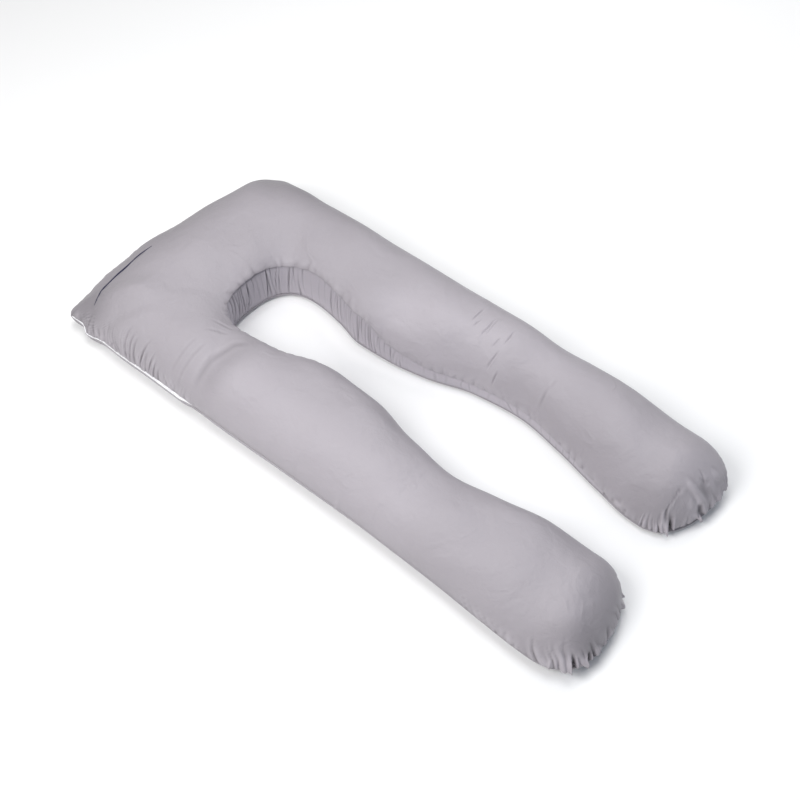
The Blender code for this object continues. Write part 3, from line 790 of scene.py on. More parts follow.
def puffs(run, rise, start, end, row, draw):
    """Cloth puffed out between the pinched points of a gathered seam."""
    pitch = row["pitch"]
    steps = pitch * draw.uniform(*PUFF_PITCHES, int(PUFF_SPARE * (end - start) / pitch) + 2)
    cuts = start + np.concatenate([[0], np.cumsum(steps)])
    cuts = np.append(cuts[cuts < end - PUFF_LEAST * pitch], end)
    depth = row["depth"] * draw.uniform(*PUFF_DEPTHS, len(cuts))
    length = row["length"] * draw.uniform(*PUFF_LENGTHS, len(cuts))
    turn = draw.uniform(0, 2 * pi, 3)
    long_wave, short_wave = (run / size for size in LEAN_LENGTHS)
    wander = np.sin(long_wave + turn[0]) + LEAN_SECOND * np.sin(short_wave + turn[1])
    lean = row["lean"] + LEAN_WANDER * wander
    up = np.clip(rise, 0, None)
    sway = np.sin(up / SWAY_LENGTHS[0] + run / SWAY_LENGTHS[1] + turn[2])
    at = run - lean * up - SWAY * pitch * sway
    slot = np.clip(np.searchsorted(cuts, at) - 1, 0, len(cuts) - 2)
    share = np.clip((at - cuts[slot]) / (cuts[slot + 1] - cuts[slot]), 0, 1)
    deep = depth[slot] * (1 - share) + depth[slot + 1] * share
    reach = length[slot] * (1 - share) + length[slot + 1] * share
    fade = np.clip(1 - up / reach, 0, 1) ** FADE_POWER
    above = row["lip"] + (1 - row["lip"]) * (1 - np.exp(-up / LIP_RISE))
    seam = np.where(rise > 0, above, row["lip"] * np.exp(np.minimum(rise, 0) / UNDER_SEAM))
    edges = ease((at - start) / pitch) * ease((end - at) / pitch)
    return deep * fade * seam * edges * (np.sin(pi * share) ** PUFF_ROUNDNESS - PUFF_MIDDLE)


def pleat(run, rise, spot, row):
    """A single trough or ridge that starts at a seam."""
    up = np.clip(rise, 0, None) / row["length"]
    width = row["width"] * (1 + PLEAT_WIDENING * up)
    away = (run - spot - row["lean"] * np.clip(rise, 0, None)) / width
    fade = np.clip(1 - up, 0, 1) ** FADE_POWER * np.exp(np.minimum(rise, 0) / UNDER_SEAM)
    return row["depth"] * fade * fold_shape(away)


def flap(run, rise, spot, row):
    """A pleat laid over: it rises slowly to its corner and drops steeply past it."""
    up = np.clip(rise, 0, None)
    along = (run - spot) * row["side"]
    body = np.clip(1 - along / row["width"], 0, 1) ** FLAP_BODY_POWER
    corner = np.where(along > 0, body, 1 - ease(-along / FLAP_DROP))
    fade = np.clip(1 - up / row["length"], 0, 1) ** FLAP_FADE_POWER
    return row["height"] * corner * fade * np.exp(np.minimum(rise, 0) / UNDER_FLAP)


def gathers(run, rise, rim_run, edge, place):
    """Height of all that the seams do to the cloth, at points run along the rim and rise
    above it."""
    height = np.zeros(len(run))
    reached = (rise > GATHERED_FROM) & (rise < GATHERED_TO)
    here, above = run[reached], rise[reached]
    for number, row in enumerate(rows_of(GATHERS, GATHER_COLUMNS)):
        draw = np.random.default_rng(SEED + number)
        ends = place_runs(row["edge"], (row["start"], row["end"]), rim_run, edge, place)
        height[reached] += puffs(here, above, min(ends), max(ends), row, draw)
    for fold, table, columns in ((pleat, PLEATS, PLEAT_COLUMNS), (flap, FLAPS, FLAP_COLUMNS)):
        for row in rows_of(table, columns):
            spot = place_runs(row["edge"], row["place"], rim_run, edge, place)
            height[reached] += fold(here, above, spot, row)
    return height


# Meshes ---------------------------------------------------------------------------------
def points_of(mesh):
    flat = np.empty(len(mesh.vertices) * 3, np.float32)
    mesh.vertices.foreach_get("co", flat)
    return flat.reshape(-1, 3).astype(float)


def normals_of(mesh):
    flat = np.empty(len(mesh.vertices) * 3, np.float32)
    mesh.vertex_normals.foreach_get("vector", flat)
    return flat.reshape(-1, 3).astype(float)


def move_points(mesh, points):
    mesh.vertices.foreach_set("co", points.astype(np.float32).ravel())
    mesh.update()


def store(mesh, name, values):
    mesh.attributes.new(name, "FLOAT", "POINT").data.foreach_set("value", values.astype(np.float32))


def stored(mesh, name):
    values = np.empty(len(mesh.vertices), np.float32)
    mesh.attributes[name].data.foreach_get("value", values)
    return values.astype(float)


def new_object(name, points, faces):
    mesh = bpy.data.meshes.new(name)
    mesh.from_pydata([tuple(point) for point in points], [], faces)
    mesh.validate()
    obj = bpy.data.objects.new(name, mesh)
    bpy.context.scene.collection.objects.link(obj)
    return obj


def bake_modifiers(obj):
    """Replaces the object's mesh by the one its modifiers make."""
    graph = bpy.context.evaluated_depsgraph_get()
    mesh = bpy.data.meshes.new_from_object(obj.evaluated_get(graph))
    obj.modifiers.clear()
    obj.data = mesh
    mesh.name = obj.name
    return mesh


def subdivide(obj):
    modifier = obj.modifiers.new("rounding", "SUBSURF")
    modifier.levels = modifier.render_levels = 1
    return bake_modifiers(obj)


def ring_faces(rows, count):
    """Quads between closed rows of count points each, given the rows' first indices."""
    faces = []
    for above, below in zip(rows, rows[1:]):
        for i in range(count):
            j = (i + 1) % count
            faces.append((above + i, above + j, below + j, below + i))
    return faces


def spine_faces(ring, spine, line, flip):
    """Faces from a ring of points to the spine; a foot's points share one spine point."""
    faces = []
    for i in range(len(line)):
        j = (i + 1) % len(line)
        corners = [ring + i, ring + j, spine + line[j]]
        if line[i] != line[j]:
            corners.append(spine + line[i])
        faces.append(tuple(corners if flip else corners[::-1]))
    return faces


def eased_share(rim_run, edge, place):
    """How much extra cloth there is at each point of the rim, 0 to 1."""
    eased = np.zeros(len(rim_run))
    for name, *ends in EASED:
        spots = place_runs(name, ends, rim_run, edge, place)
        eased = np.maximum(eased, within(rim_run, (min(spots), max(spots)), EASED_EDGE))
    return eased


def rise_of(rows):
    """How far up the cloth from the seam each point lies, below it as a negative."""
    climb = np.linalg.norm(np.diff(rows, axis=0), axis=2)
    seam = TOP_ROWS - 1
    rise = np.zeros(rows.shape[:2])
    rise[:seam] = np.cumsum(climb[:seam][::-1], axis=0)[::-1]
    rise[seam + 1 :] = -np.cumsum(climb[seam:], axis=0)
    return rise


def body_mesh(shape):
    """The body before its relief, with each point's run along the rim and rise above it."""
    rim, edge, place, line = whole_rim()
    rows = body_rows(rim, shape)
    count, lines = len(line), line.max() + 1
    first = [int(np.argmax(line == number)) for number in range(lines)]
    crown = np.column_stack([rim.spine[first], rim.crown[first]])
    sole = np.column_stack([rim.spine[first], np.zeros(lines)])
    points = np.concatenate([rows.reshape(-1, 3), crown, sole])
    top = len(rows) * count
    starts = [k * count for k in range(len(rows))]
    faces = ring_faces(starts, count)
    faces += spine_faces(starts[0], top, line, flip=False)
    faces += spine_faces(starts[-1], top + lines, line, flip=True)
    obj = new_object("pillow_body", points, faces)
    step = np.linalg.norm(np.roll(rim.point, -1, axis=0) - rim.point, axis=1)
    rim_run = np.concatenate([[0], np.cumsum(step)[:-1]])
    eased = eased_share(rim_run, edge, place)
    far_up, far_down, none = np.full(lines, 1.0), np.full(lines, -1.0), np.zeros(2 * lines)
    store(obj.data, "run", np.concatenate([np.tile(rim_run, len(rows)), none]))
    store(obj.data, "rise", np.concatenate([rise_of(rows).ravel(), far_up, far_down]))
    store(obj.data, "eased", np.concatenate([np.tile(eased, len(rows)), none]))
    return obj, (rim_run, edge, place)


def hold_seams(obj, shape):
    """Vertex groups for the held seams and sole and for the cloth eased into the seams."""
    rise = stored(obj.data, "rise")
    held = obj.vertex_groups.new(name="held")
    held.add(np.nonzero(rise <= 0)[0].tolist(), 1.0, "REPLACE")
    loose = obj.vertex_groups.new(name="loose")
    weight = stored(obj.data, "eased") * np.exp(-rise / shape.ease_reach)
    for index in np.nonzero((rise > 0) & (weight > LEAST_EASE))[0].tolist():
        loose.add([index], float(weight[index]), "REPLACE")


def settled_points(obj, shape):
    """The points after the filling has pressed on the cloth for a few frames."""
    cloth = obj.modifiers.new("filling", "CLOTH")
    settings = cloth.settings
    settings.quality = CLOTH_QUALITY
    settings.vertex_group_mass = "held"
    settings.vertex_group_shrink = "loose"
    settings.shrink_min = 0.0
    settings.shrink_max = -shape.seam_ease
    settings.use_pressure = True
    settings.uniform_pressure_force = shape.pressure
    settings.effector_weights.gravity = 0.0
    settings.bending_stiffness = CLOTH_STIFFNESS
    cloth.collision_settings.use_collision = False
    scene = bpy.context.scene
    for number in range(1, shape.settle_frames + 1):
        scene.frame_set(number)
    graph = bpy.context.evaluated_depsgraph_get()
    settled = points_of(obj.evaluated_get(graph).data)
    obj.modifiers.clear()
    scene.frame_set(1)
    return settled


def puff(obj, shape):
    """Lets the cloth settle on its filling: pressure from inside, seams and sole held."""
    mesh = obj.data
    hold_seams(obj, shape)
    settled = settled_points(obj, shape)
    start = points_of(mesh)
    shift = settled - start
    size = np.linalg.norm(shift, axis=1)
    shift *= (shape.settle_limit / np.maximum(size, shape.settle_limit))[:, None]
    shift *= (shape.settle_share + (1 - shape.settle_share) * stored(mesh, "eased"))[:, None]
    move_points(mesh, start + shift)


# Trims ----------------------------------------------------------------------------------
def evenly(edge_of, span, pitch):
    """Rim points at even distances along a span of one edge, with their places and runs."""
    t = np.linspace(*span, EVEN_SAMPLES)
    run = run_along(edge_of(t).point)
    even = np.linspace(0, run[-1], int(run[-1] / pitch))
    places = np.interp(even, run, t)
    return edge_of(places), places, even


def shell(name, front, back, hollow=None):
    """A thin closed strip between a front and a back grid of points."""
    rows, count = front.shape[:2]
    total = rows * count
    points = np.concatenate([front.reshape(-1, 3), back.reshape(-1, 3)])
    points[:, :2] -= MIDDLE
    faces = []
    for row in range(rows - 1):
        for i in range(row * count, row * count + count - 1):
            faces.append((i, i + 1, i + count + 1, i + count))
            faces.append((total + i, total + i + count, total + i + count + 1, total + i + 1))
    for side in (0, count - 1):
        for row in range(rows - 1):
            i, j = row * count + side, (row + 1) * count + side
            quad = (i, j, total + j, total + i)
            faces.append(quad if side == 0 else quad[::-1])
    for start in (0, total - count):
        for i in range(start, start + count - 1):
            quad = (i, i + 1, total + i + 1, total + i)
            faces.append(quad[::-1] if start == 0 else quad)
    obj = new_object(name, points, faces)
    # The shade painted into its creases, stored for the material.
    if hollow is not None:
        store(obj.data, "hollow", np.tile(hollow.ravel(), 2))
    return obj


def band_creases(even, places, up):
    """Depth of the band's creases: some cross it whole, some start from one of its seams."""
    depth = np.zeros((len(up), len(even)))
    fades = (
        np.sin(pi * up) ** 0.5,
        (1 - up) ** 1.3,
        up**1.3,
        np.sin(pi * up) ** 0.5,
    )
    for number, row in enumerate(rows_of(BAND_CREASES, BAND_CREASE_COLUMNS)):
        draw = np.random.default_rng(SEED + 50 + number)
        spot, last = np.interp((row["start"], row["end"]), places, even)
        while spot < last:
            width = row["width"] * draw.uniform(0.7, 1.4)
            lean, bow = 0.006 * draw.normal(), 0.002 * draw.normal()
            fade = fades[draw.integers(len(fades))]
            line = spot + lean * (up - 0.5) + bow * np.sin(pi * up)
            across = (even[None, :] - line[:, None]) / width
            depth += row["depth"] * draw.uniform(0.3, 1.1) * fade[:, None] * -fold_shape(across)
            spot += row["pitch"] * draw.uniform(0.5, 1.5)
    return depth


def band_grids():
    """The band in its groove: its front, its back and the shade painted into its creases, by their depth.
    """
    rim, places, even = evenly(inner_edge, BAND_SPAN, BAND_PITCH)
    up = np.linspace(0, 1, BAND_ROWS)
    depth = band_creases(even, places, up)
    reach = np.minimum(rim.drop / BAND_FULL_DROP, 1.0)
    front, back = [], []
    for row, share in enumerate(up):
        run = GROOVE_LIP + (rim.drop - 2 * GROOVE_LIP) * share
        level = BAND_LEVEL - BAND_BULGE * sin(pi * share) * reach + depth[row] * reach
        level += BAND_STEP * np.exp(-share / BAND_STEP_REACH)
        level = np.clip(level, BAND_PROUDEST, BAND_DEPTH - BAND_BACKING)
        front.append(rim.slot(run, level))
        back.append(rim.slot(run, level + BAND_THICKNESS))
    return np.array(front), np.array(back), depth / BAND_FULL_SHADE_DEPTH


def zip_grids():
    """The zip's tape, a strip on the ledge of the seam: its front and its back."""
    rim, _, _ = evenly(outer_edge, ZIP_SPAN, TRIM_PITCH)
    fall = np.hypot(rim.ledge, rim.drop)
    front, back = [], []
    for share in np.linspace(0, 1, ZIP_ROWS):
        run = GROOVE_LIP + (fall - 2 * GROOVE_LIP) * share
        arch = ZIP_LEVEL - ZIP_ARCH * sin(pi * share)
        front.append(rim.slot(run, np.full(len(fall), arch)))
        back.append(rim.slot(run, np.full(len(fall), ZIP_LEVEL + ZIP_THICKNESS)))
    return np.array(front), np.array(back)


def crease_shade_grids(body):
    """The near-black strip on the head's slope, painted shade along a crease there, that narrows to a point
    at both ends.
    """
    path = np.array(CREASE_SHADE_PATH)
    run = run_along(path)
    even = np.linspace(0, run[-1], int(run[-1] / TRIM_PITCH))
    line = np.column_stack([through(run, path[:, axis], even) for axis in (0, 1)])
    along = unit(np.gradient(line, axis=0))
    half = CREASE_SHADE_WIDTH / 2 * np.sin(pi * np.clip(even / run[-1], 0.02, 0.98)) ** 0.6
    front, back = [], []
    for share in np.linspace(-1, 1, CREASE_SHADE_ROWS):
        spots = line + np.column_stack([along[:, 1], -along[:, 0]]) * (half * share)[:, None]
        above = np.column_stack([spots, np.full(len(spots), ABOVE_ALL)])
        above[:, :2] -= MIDDLE
        hits, normals = np.empty_like(above), np.empty_like(above)
        for number, point in enumerate(above):
            _, hits[number], normals[number], _ = body.ray_cast(point, (0.0, 0.0, -1.0))
        hits[:, :2] += MIDDLE
        front.append(hits + normals * CREASE_SHADE_PROUD)
        back.append(hits + normals * (CREASE_SHADE_PROUD - CREASE_SHADE_THICKNESS))
    return np.array(front), np.array(back)


def rods(ends, radius, sides=6):
    """Points and faces of short rods with rounded ends, one for each pair of ends."""
    starts, stops = ends
    along = unit(stops - starts)
    helper = np.where(np.abs(along[:, 2:]) > 0.9, (1.0, 0.0, 0.0), (0.0, 0.0, 1.0))
    across = unit(np.cross(along, helper))
    up = np.cross(along, across)
    turns = np.linspace(0, 2 * pi, sides, endpoint=False)
    rings = []
    for centre, shrink in ((starts, 0.55), (starts + along * radius, 1.0),
                           (stops - along * radius, 1.0), (stops, 0.55)):
        for turn in turns:
            rings.append(centre + radius * shrink * (across * cos(turn) + up * sin(turn)))
    points = np.array(rings).transpose(1, 0, 2).reshape(-1, 3)
    faces, each = [], 4 * sides
    for first in range(0, len(points), each):
        for ring in range(3):
            for i in range(sides):
                j = (i + 1) % sides
                low, high = first + ring * sides, first + (ring + 1) * sides
                faces.append((low + i, low + j, high + j, high + i))
        faces.append(tuple(first + i for i in range(sides))[::-1])
        faces.append(tuple(first + 3 * sides + i for i in range(sides)))
    return points, faces


def zip_teeth():
    """Ends of the coil's teeth, across the middle of the zip."""
    span = (ZIP_SPAN[0] + TOOTH_MARGIN, ZIP_SPAN[1] - TOOTH_MARGIN)
    rim, _, _ = evenly(outer_edge, span, TOOTH_PITCH)
    fall = np.hypot(rim.ledge, rim.drop)
    half = np.minimum(TOOTH_WIDTH, 0.5 * fall) / 2
    level = np.full(len(fall), TOOTH_LEVEL)
    starts, stops = rim.slot(fall / 2 - half, level), rim.slot(fall / 2 + half, level)
    slant = np.zeros_like(starts)
    slant[:-1] = (starts[1:] - starts[:-1]) * TOOTH_SLANT
    return starts - slant, stops + slant


def seam_lines():
    """The three lines of stitches: above and below the outer seam, and over the inner one."""
    outer, _, _ = evenly(outer_edge, (0.0, 3.0), STITCH_PITCH)
    inner, _, _ = evenly(inner_edge, (0.02, 2.98), STITCH_PITCH)
    fall = np.hypot(outer.ledge, outer.drop)
    set_in, set_up = STITCHES_ABOVE
    above = outer.place(-set_in * np.ones(len(fall)), outer.upper + set_up)
    below = outer.slot(fall + STITCHES_BELOW, np.zeros(len(fall)))
    over = inner.place(-STITCHES_INNER * np.ones(len(inner.upper)), inner.upper + STITCHES_INNER)
    return above, below, over


def tube(points, radius, sides):
    """Points and faces of a closed round cord through a closed line of points."""
    along = unit(np.roll(points, -1, axis=0) - np.roll(points, 1, axis=0))
    across = unit(np.cross(along, (0.0, 0.0, 1.0)))
    up = np.cross(along, across)
    turns = np.linspace(0, 2 * pi, sides, endpoint=False)
    rings = [points + radius * (across * cos(turn) + up * sin(turn)) for turn in turns]
    count = len(points)
    faces = ring_faces([side * count for side in range(sides)] + [0], count)
    return np.concatenate(rings), faces


def on_surface(body, points):
    """The nearest spots on the body's surface and the normals there."""
    spots, normals = np.empty_like(points), np.empty_like(points)
    for number, point in enumerate(points):
        _, spot, normal, _ = body.closest_point_on_mesh(point)
        spots[number], normals[number] = spot, normal
    return spots, normals


# Materials ------------------------------------------------------------------------------
def add_node(tree, kind, inputs=None, **settings):
    node = tree.nodes.new(kind)
    for name, value in settings.items():
        setattr(node, name, value)
    for name, value in (inputs or {}).items():
        socket = node.inputs[name]
        if isinstance(value, bpy.types.NodeSocket):
            tree.links.new(value, socket)
        else:
            socket.default_value = value
    return node


def add_socket(group, name, direction, kind, value=None):
    socket = group.interface.new_socket(name=name, in_out=direction, socket_type=kind)
    if value is not None:
        socket.default_value = value
    return socket


def maths(tree, operation, first, second=0.0, third=0.0):
    values = {0: first, 1: second, 2: third}
    return add_node(tree, "ShaderNodeMath", values, operation=operation).outputs[0]


def weave_group():
    """Height of a fine plain weave, laid on whichever plane the surface mostly faces."""
    group = bpy.data.node_groups.new("Fine weave", "ShaderNodeTree")
    add_socket(group, "Pitch", "INPUT", "NodeSocketFloat", 0.0006)
    add_socket(group, "Height", "OUTPUT", "NodeSocketFloat")
    given = add_node(group, "NodeGroupInput")
    place = add_node(group, "ShaderNodeTexCoord").outputs["Object"]
    facing = add_node(group, "ShaderNodeTexCoord").outputs["Normal"]
    at = add_node(group, "ShaderNodeSeparateXYZ", {0: place}).outputs
    way = add_node(group, "ShaderNodeSeparateXYZ", {0: facing}).outputs
    turns = maths(group, "DIVIDE", 2 * pi, given.outputs["Pitch"])
    waves = [maths(group, "SINE", maths(group, "MULTIPLY", at[axis], turns)) for axis in range(3)]
    height = 0.0
    for axis in range(3):
        one, two = (waves[other] for other in range(3) if other != axis)
        plane = maths(group, "MULTIPLY", one, two)
        weight = maths(group, "POWER", maths(group, "ABSOLUTE", way[axis]), 2.0)
        height = maths(group, "ADD", maths(group, "MULTIPLY", plane, weight), height)
    add_node(group, "NodeGroupOutput", {"Height": height})
    return group


def tone_and_shade_group():
    """A colour that wanders a little, as dyed cloth does, scaled by painted shading: darker in folds and
    deeper strokes, lighter on ridges and lighter strokes.
    """
    group = bpy.data.node_groups.new("Dyed cloth tone", "ShaderNodeTree")
    add_socket(group, "Colour", "INPUT", "NodeSocketColor", (0.5, 0.5, 0.5, 1.0))
    add_socket(group, "Deep colour", "INPUT", "NodeSocketColor", (0.4, 0.4, 0.4, 1.0))
    add_socket(group, "Patch size", "INPUT", "NodeSocketFloat", 0.12)
    add_socket(group, "Variation", "INPUT", "NodeSocketFloat", 0.35)
    add_socket(group, "Hollow", "INPUT", "NodeSocketFloat", 0.0)
    add_socket(group, "Fold depth", "INPUT", "NodeSocketFloat", 0.5)
    add_socket(group, "Colour", "OUTPUT", "NodeSocketColor")
    add_socket(group, "Patches", "OUTPUT", "NodeSocketFloat")
    given = add_node(group, "NodeGroupInput").outputs
    place = add_node(group, "ShaderNodeTexCoord").outputs["Object"]
    scale = maths(group, "DIVIDE", 1.0, given["Patch size"])
    broad = {"Vector": place, "Scale": scale, "Detail": 3.0, "Roughness": 0.55}
    patches = add_node(group, "ShaderNodeTexNoise", broad).outputs["Fac"]
    fine = {"Vector": place, "Scale": 900.0, "Detail": 2.0}
    specks = add_node(group, "ShaderNodeTexNoise", fine).outputs["Fac"]
    both = maths(group, "MULTIPLY_ADD", specks, 0.35, maths(group, "MULTIPLY", patches, 0.65))
    share = maths(group, "MULTIPLY", maths(group, "SUBTRACT", both, 0.3), given["Variation"])
    share = maths(group, "MAXIMUM", share, 0.0)
    mixed = add_node(group, "ShaderNodeMix", data_type="RGBA")
    group.links.new(share, mixed.inputs["Factor"])
    group.links.new(given["Colour"], mixed.inputs[6])
    group.links.new(given["Deep colour"], mixed.inputs[7])
    # Painted shading: folds and deeper strokes darken the colour, ridges and lighter strokes lighten it.
    shade = maths(group, "MULTIPLY", given["Hollow"], given["Fold depth"])
    kept = maths(group, "SUBTRACT", 1.0, maths(group, "MINIMUM", shade, DEEPEST_PAINTED_SHADE))
    kept = maths(group, "MINIMUM", kept, LIGHTEST_PAINTED_LIGHT)
    shaded = add_node(group, "ShaderNodeVectorMath", {0: mixed.outputs[2]}, operation="SCALE")
    group.links.new(kept, shaded.inputs["Scale"])
    add_node(group, "NodeGroupOutput", {"Colour": shaded.outputs[0], "Patches": patches})
    return group


def crumple_group():
    """Height of the small soft unevenness that cloth over loose fibre shows."""
    group = bpy.data.node_groups.new("Soft crumple", "ShaderNodeTree")
    add_socket(group, "Size", "INPUT", "NodeSocketFloat", 0.03)
    add_socket(group, "Stretch", "INPUT", "NodeSocketVector", (1.0, 1.0, 1.0))
    add_socket(group, "Height", "OUTPUT", "NodeSocketFloat")
    given = add_node(group, "NodeGroupInput").outputs
    place = add_node(group, "ShaderNodeTexCoord").outputs["Object"]
    held = {0: place, 1: given["Stretch"]}
    pulled = add_node(group, "ShaderNodeVectorMath", held, operation="MULTIPLY").outputs[0]
    scale = maths(group, "DIVIDE", 1.0, given["Size"])
    noise = {"Vector": pulled, "Scale": scale, "Detail": 4.0, "Roughness": 0.5, "Distortion": 0.4}
    height = add_node(group, "ShaderNodeTexNoise", noise).outputs["Fac"]
    add_node(group, "NodeGroupOutput", {"Height": height})
    return group


def wrinkle_group():
    """Height of thin curved wrinkles that come and go over the cloth."""
    group = bpy.data.node_groups.new("Fine wrinkles", "ShaderNodeTree")
    add_socket(group, "Size", "INPUT", "NodeSocketFloat", 0.12)
    add_socket(group, "Sharpness", "INPUT", "NodeSocketFloat", 14.0)
    add_socket(group, "Height", "OUTPUT", "NodeSocketFloat")
    given = add_node(group, "NodeGroupInput").outputs
    place = add_node(group, "ShaderNodeTexCoord").outputs["Object"]
    scale = maths(group, "DIVIDE", 1.0, given["Size"])
    noise = {"Vector": place, "Scale": scale, "Detail": 2.0, "Roughness": 0.5, "Distortion": 1.2}
    level = add_node(group, "ShaderNodeTexNoise", noise).outputs["Fac"]
    away = maths(group, "ABSOLUTE", maths(group, "SUBTRACT", level, 0.5))
    line = maths(group, "SUBTRACT", 1.0, maths(group, "MULTIPLY", away, given["Sharpness"]))
    broad = {"Vector": place, "Scale": maths(group, "MULTIPLY", scale, 0.9), "Detail": 1.0}
    patches = add_node(group, "ShaderNodeTexNoise", broad).outputs["Fac"]
    shown = maths(group, "MULTIPLY", maths(group, "SUBTRACT", patches, 0.45), 5.0)
    shown = maths(group, "MINIMUM", maths(group, "MAXIMUM", shown, 0.0), 1.0)
    height = maths(group, "MULTIPLY", maths(group, "MAXIMUM", line, 0.0), shown)
    add_node(group, "NodeGroupOutput", {"Height": height})
    return group


def group_node(tree, name, build, inputs):
    group = bpy.data.node_groups.get(name) or build()
    node = tree.nodes.new("ShaderNodeGroup")
    node.node_tree = group
    for key, value in inputs.items():
        node.inputs[key].default_value = value
    return node.outputs


def new_material(name):
    material = bpy.data.materials.new(name)
    material.use_nodes = True
    return material, material.node_tree, material.node_tree.nodes["Principled BSDF"]


def bumped(tree, shader, layers):
    """Stacks heights, each (height socket, distance in metres, strength), into one normal."""
    normal = None
    for height, distance, strength in layers:
        inputs = {"Height": height, "Distance": distance, "Strength": strength}
        node = add_node(tree, "ShaderNodeBump", inputs)
        if normal is not None:
            tree.links.new(normal, node.inputs["Normal"])
        normal = node.outputs["Normal"]
    tree.links.new(normal, shader.inputs["Normal"])


def cloth_material(name, colour, deep, finish, crumple, stretch=(1.0, 1.0, 1.0)):
    """Smooth brushed cloth: a soft sheen, a fine weave, gentle unevenness and the painted shading stored on
    its mesh.
    """
    material, tree, shader = new_material(name)
    tone_inputs = {"Colour": (*colour, 1.0), "Deep colour": (*deep, 1.0), "Patch size": 0.12}
    tone_inputs["Fold depth"] = finish.painted_shade_strength
    tone = group_node(tree, "Dyed cloth tone", tone_and_shade_group, tone_inputs)
    tree.links.new(tone["Colour"], shader.inputs["Base Color"])
    # The painted shading stored on the mesh, fed into the tone.
    folds = add_node(tree, "ShaderNodeAttribute", attribute_name="hollow")
    tree.links.new(folds.outputs["Fac"], tone["Colour"].node.inputs["Hollow"])
    rough = maths(tree, "MULTIPLY_ADD", tone["Patches"], 0.14, finish.roughness - 0.07)
    tree.links.new(rough, shader.inputs["Roughness"])
    shader.inputs["Sheen Weight"].default_value = finish.sheen
    shader.inputs["Sheen Roughness"].default_value = 0.45
    shader.inputs["Specular IOR Level"].default_value = 0.35
    weave = group_node(tree, "Fine weave", weave_group, {"Pitch": finish.thread_pitch})
    soft = {"Size": 0.035, "Stretch": stretch}
    crumples = group_node(tree, "Soft crumple", crumple_group, soft)
    fine = {"Size": 0.008, "Stretch": stretch}
    wrinkles = group_node(tree, "Soft crumple", crumple_group, fine)
    lines = group_node(tree, "Fine wrinkles", wrinkle_group, {})
    layers = (
        (crumples["Height"], crumple, 1.0),
        (lines["Height"], crumple * 0.24, 1.0),
        (wrinkles["Height"], crumple * 0.12, 1.0),
        (weave["Height"], 0.00006, 0.5),
    )
    bumped(tree, shader, layers)
    return material


def trim_material(name, colour, roughness, rib):
    """Woven tape or moulded coil: one colour with a little unevenness and a fine rib."""
    material, tree, shader = new_material(name)
    deep = tuple(0.8 * value for value in colour)
    inputs = {"Colour": (*colour, 1.0), "Deep colour": (*deep, 1.0), "Patch size": 0.02}
    tone = group_node(tree, "Dyed cloth tone", tone_and_shade_group, inputs)
    tree.links.new(tone["Colour"], shader.inputs["Base Color"])
    rough = maths(tree, "MULTIPLY_ADD", tone["Patches"], 0.1, roughness - 0.05)
    tree.links.new(rough, shader.inputs["Roughness"])
    weave = group_node(tree, "Fine weave", weave_group, {"Pitch": rib})
    bumped(tree, shader, ((weave["Height"], 0.0001, 0.6),))
    return material


def surfaced(obj, material):
    """Smooth shading and the piece's one material."""
    obj.data.shade_smooth()
    obj.data.materials.append(material)


# Settings -------------------------------------------------------------------------------
class PillowShape(PropertyGroup):
    """How full the pillow is and how strongly its seams gather the cloth."""

    fullness: FloatProperty(
        name="Fullness", description="Of the crown: 2 is an ellipse, more is boxier", default=2.05
    )
    side_difference: FloatProperty(
        name="Side Difference", description="How much fuller the +Y sides are", default=0.2
    )
    foot_fullness: FloatProperty(
        name="Foot Fullness", description="Fullness at the ends of the legs", default=1.75
    )
    foot_size: FloatProperty(
        name="Foot Size", description="How far the round ends reach", default=0.16, unit="LENGTH"
    )
    head_fullness: FloatProperty(
        name="Head Fullness", description="Fullness along the head end", default=1.65
    )
    corner_fullness: FloatProperty(
        name="Corner Fullness", description="Fullness at the head corners", default=1.25
    )
    corner_size: FloatProperty(
        name="Corner Size", description="How far the thin corners reach", default=0.24, unit="LENGTH"
    )
    gather_depth: FloatProperty(
        name="Gather Depth", description="Scales the folds at the seams", default=1.0
    )
    crease_depth: FloatProperty(
        name="Crease Depth", description="Scales the single creases", default=1.0
    )
    # The fold depth at which the painted shade is full.
    full_shade_depth: FloatProperty(
        name="Full Shade Depth", description="Depth of a fold whose tone is full", default=0.0042, unit="LENGTH"
    )
    pressure: FloatProperty(
        name="Filling Pressure", description="Pressure of the filling on the cloth", default=4.0
    )
    seam_ease: FloatProperty(
        name="Seam Ease", description="Share of extra cloth eased into the seams", default=0.12
    )
    ease_reach: FloatProperty(
        name="Ease Reach", description="How far the extra cloth reaches", default=0.05, unit="LENGTH"
    )
    settle_frames: IntProperty(
        name="Settling Frames", description="Frames for the cloth to settle", default=16
    )
    settle_share: FloatProperty(
        name="Settling Share", description="Settling kept away from the eased seams", default=0.3
    )
    settle_limit: FloatProperty(
        name="Settling Limit", description="Most that a point moves", default=0.008, unit="LENGTH"
    )


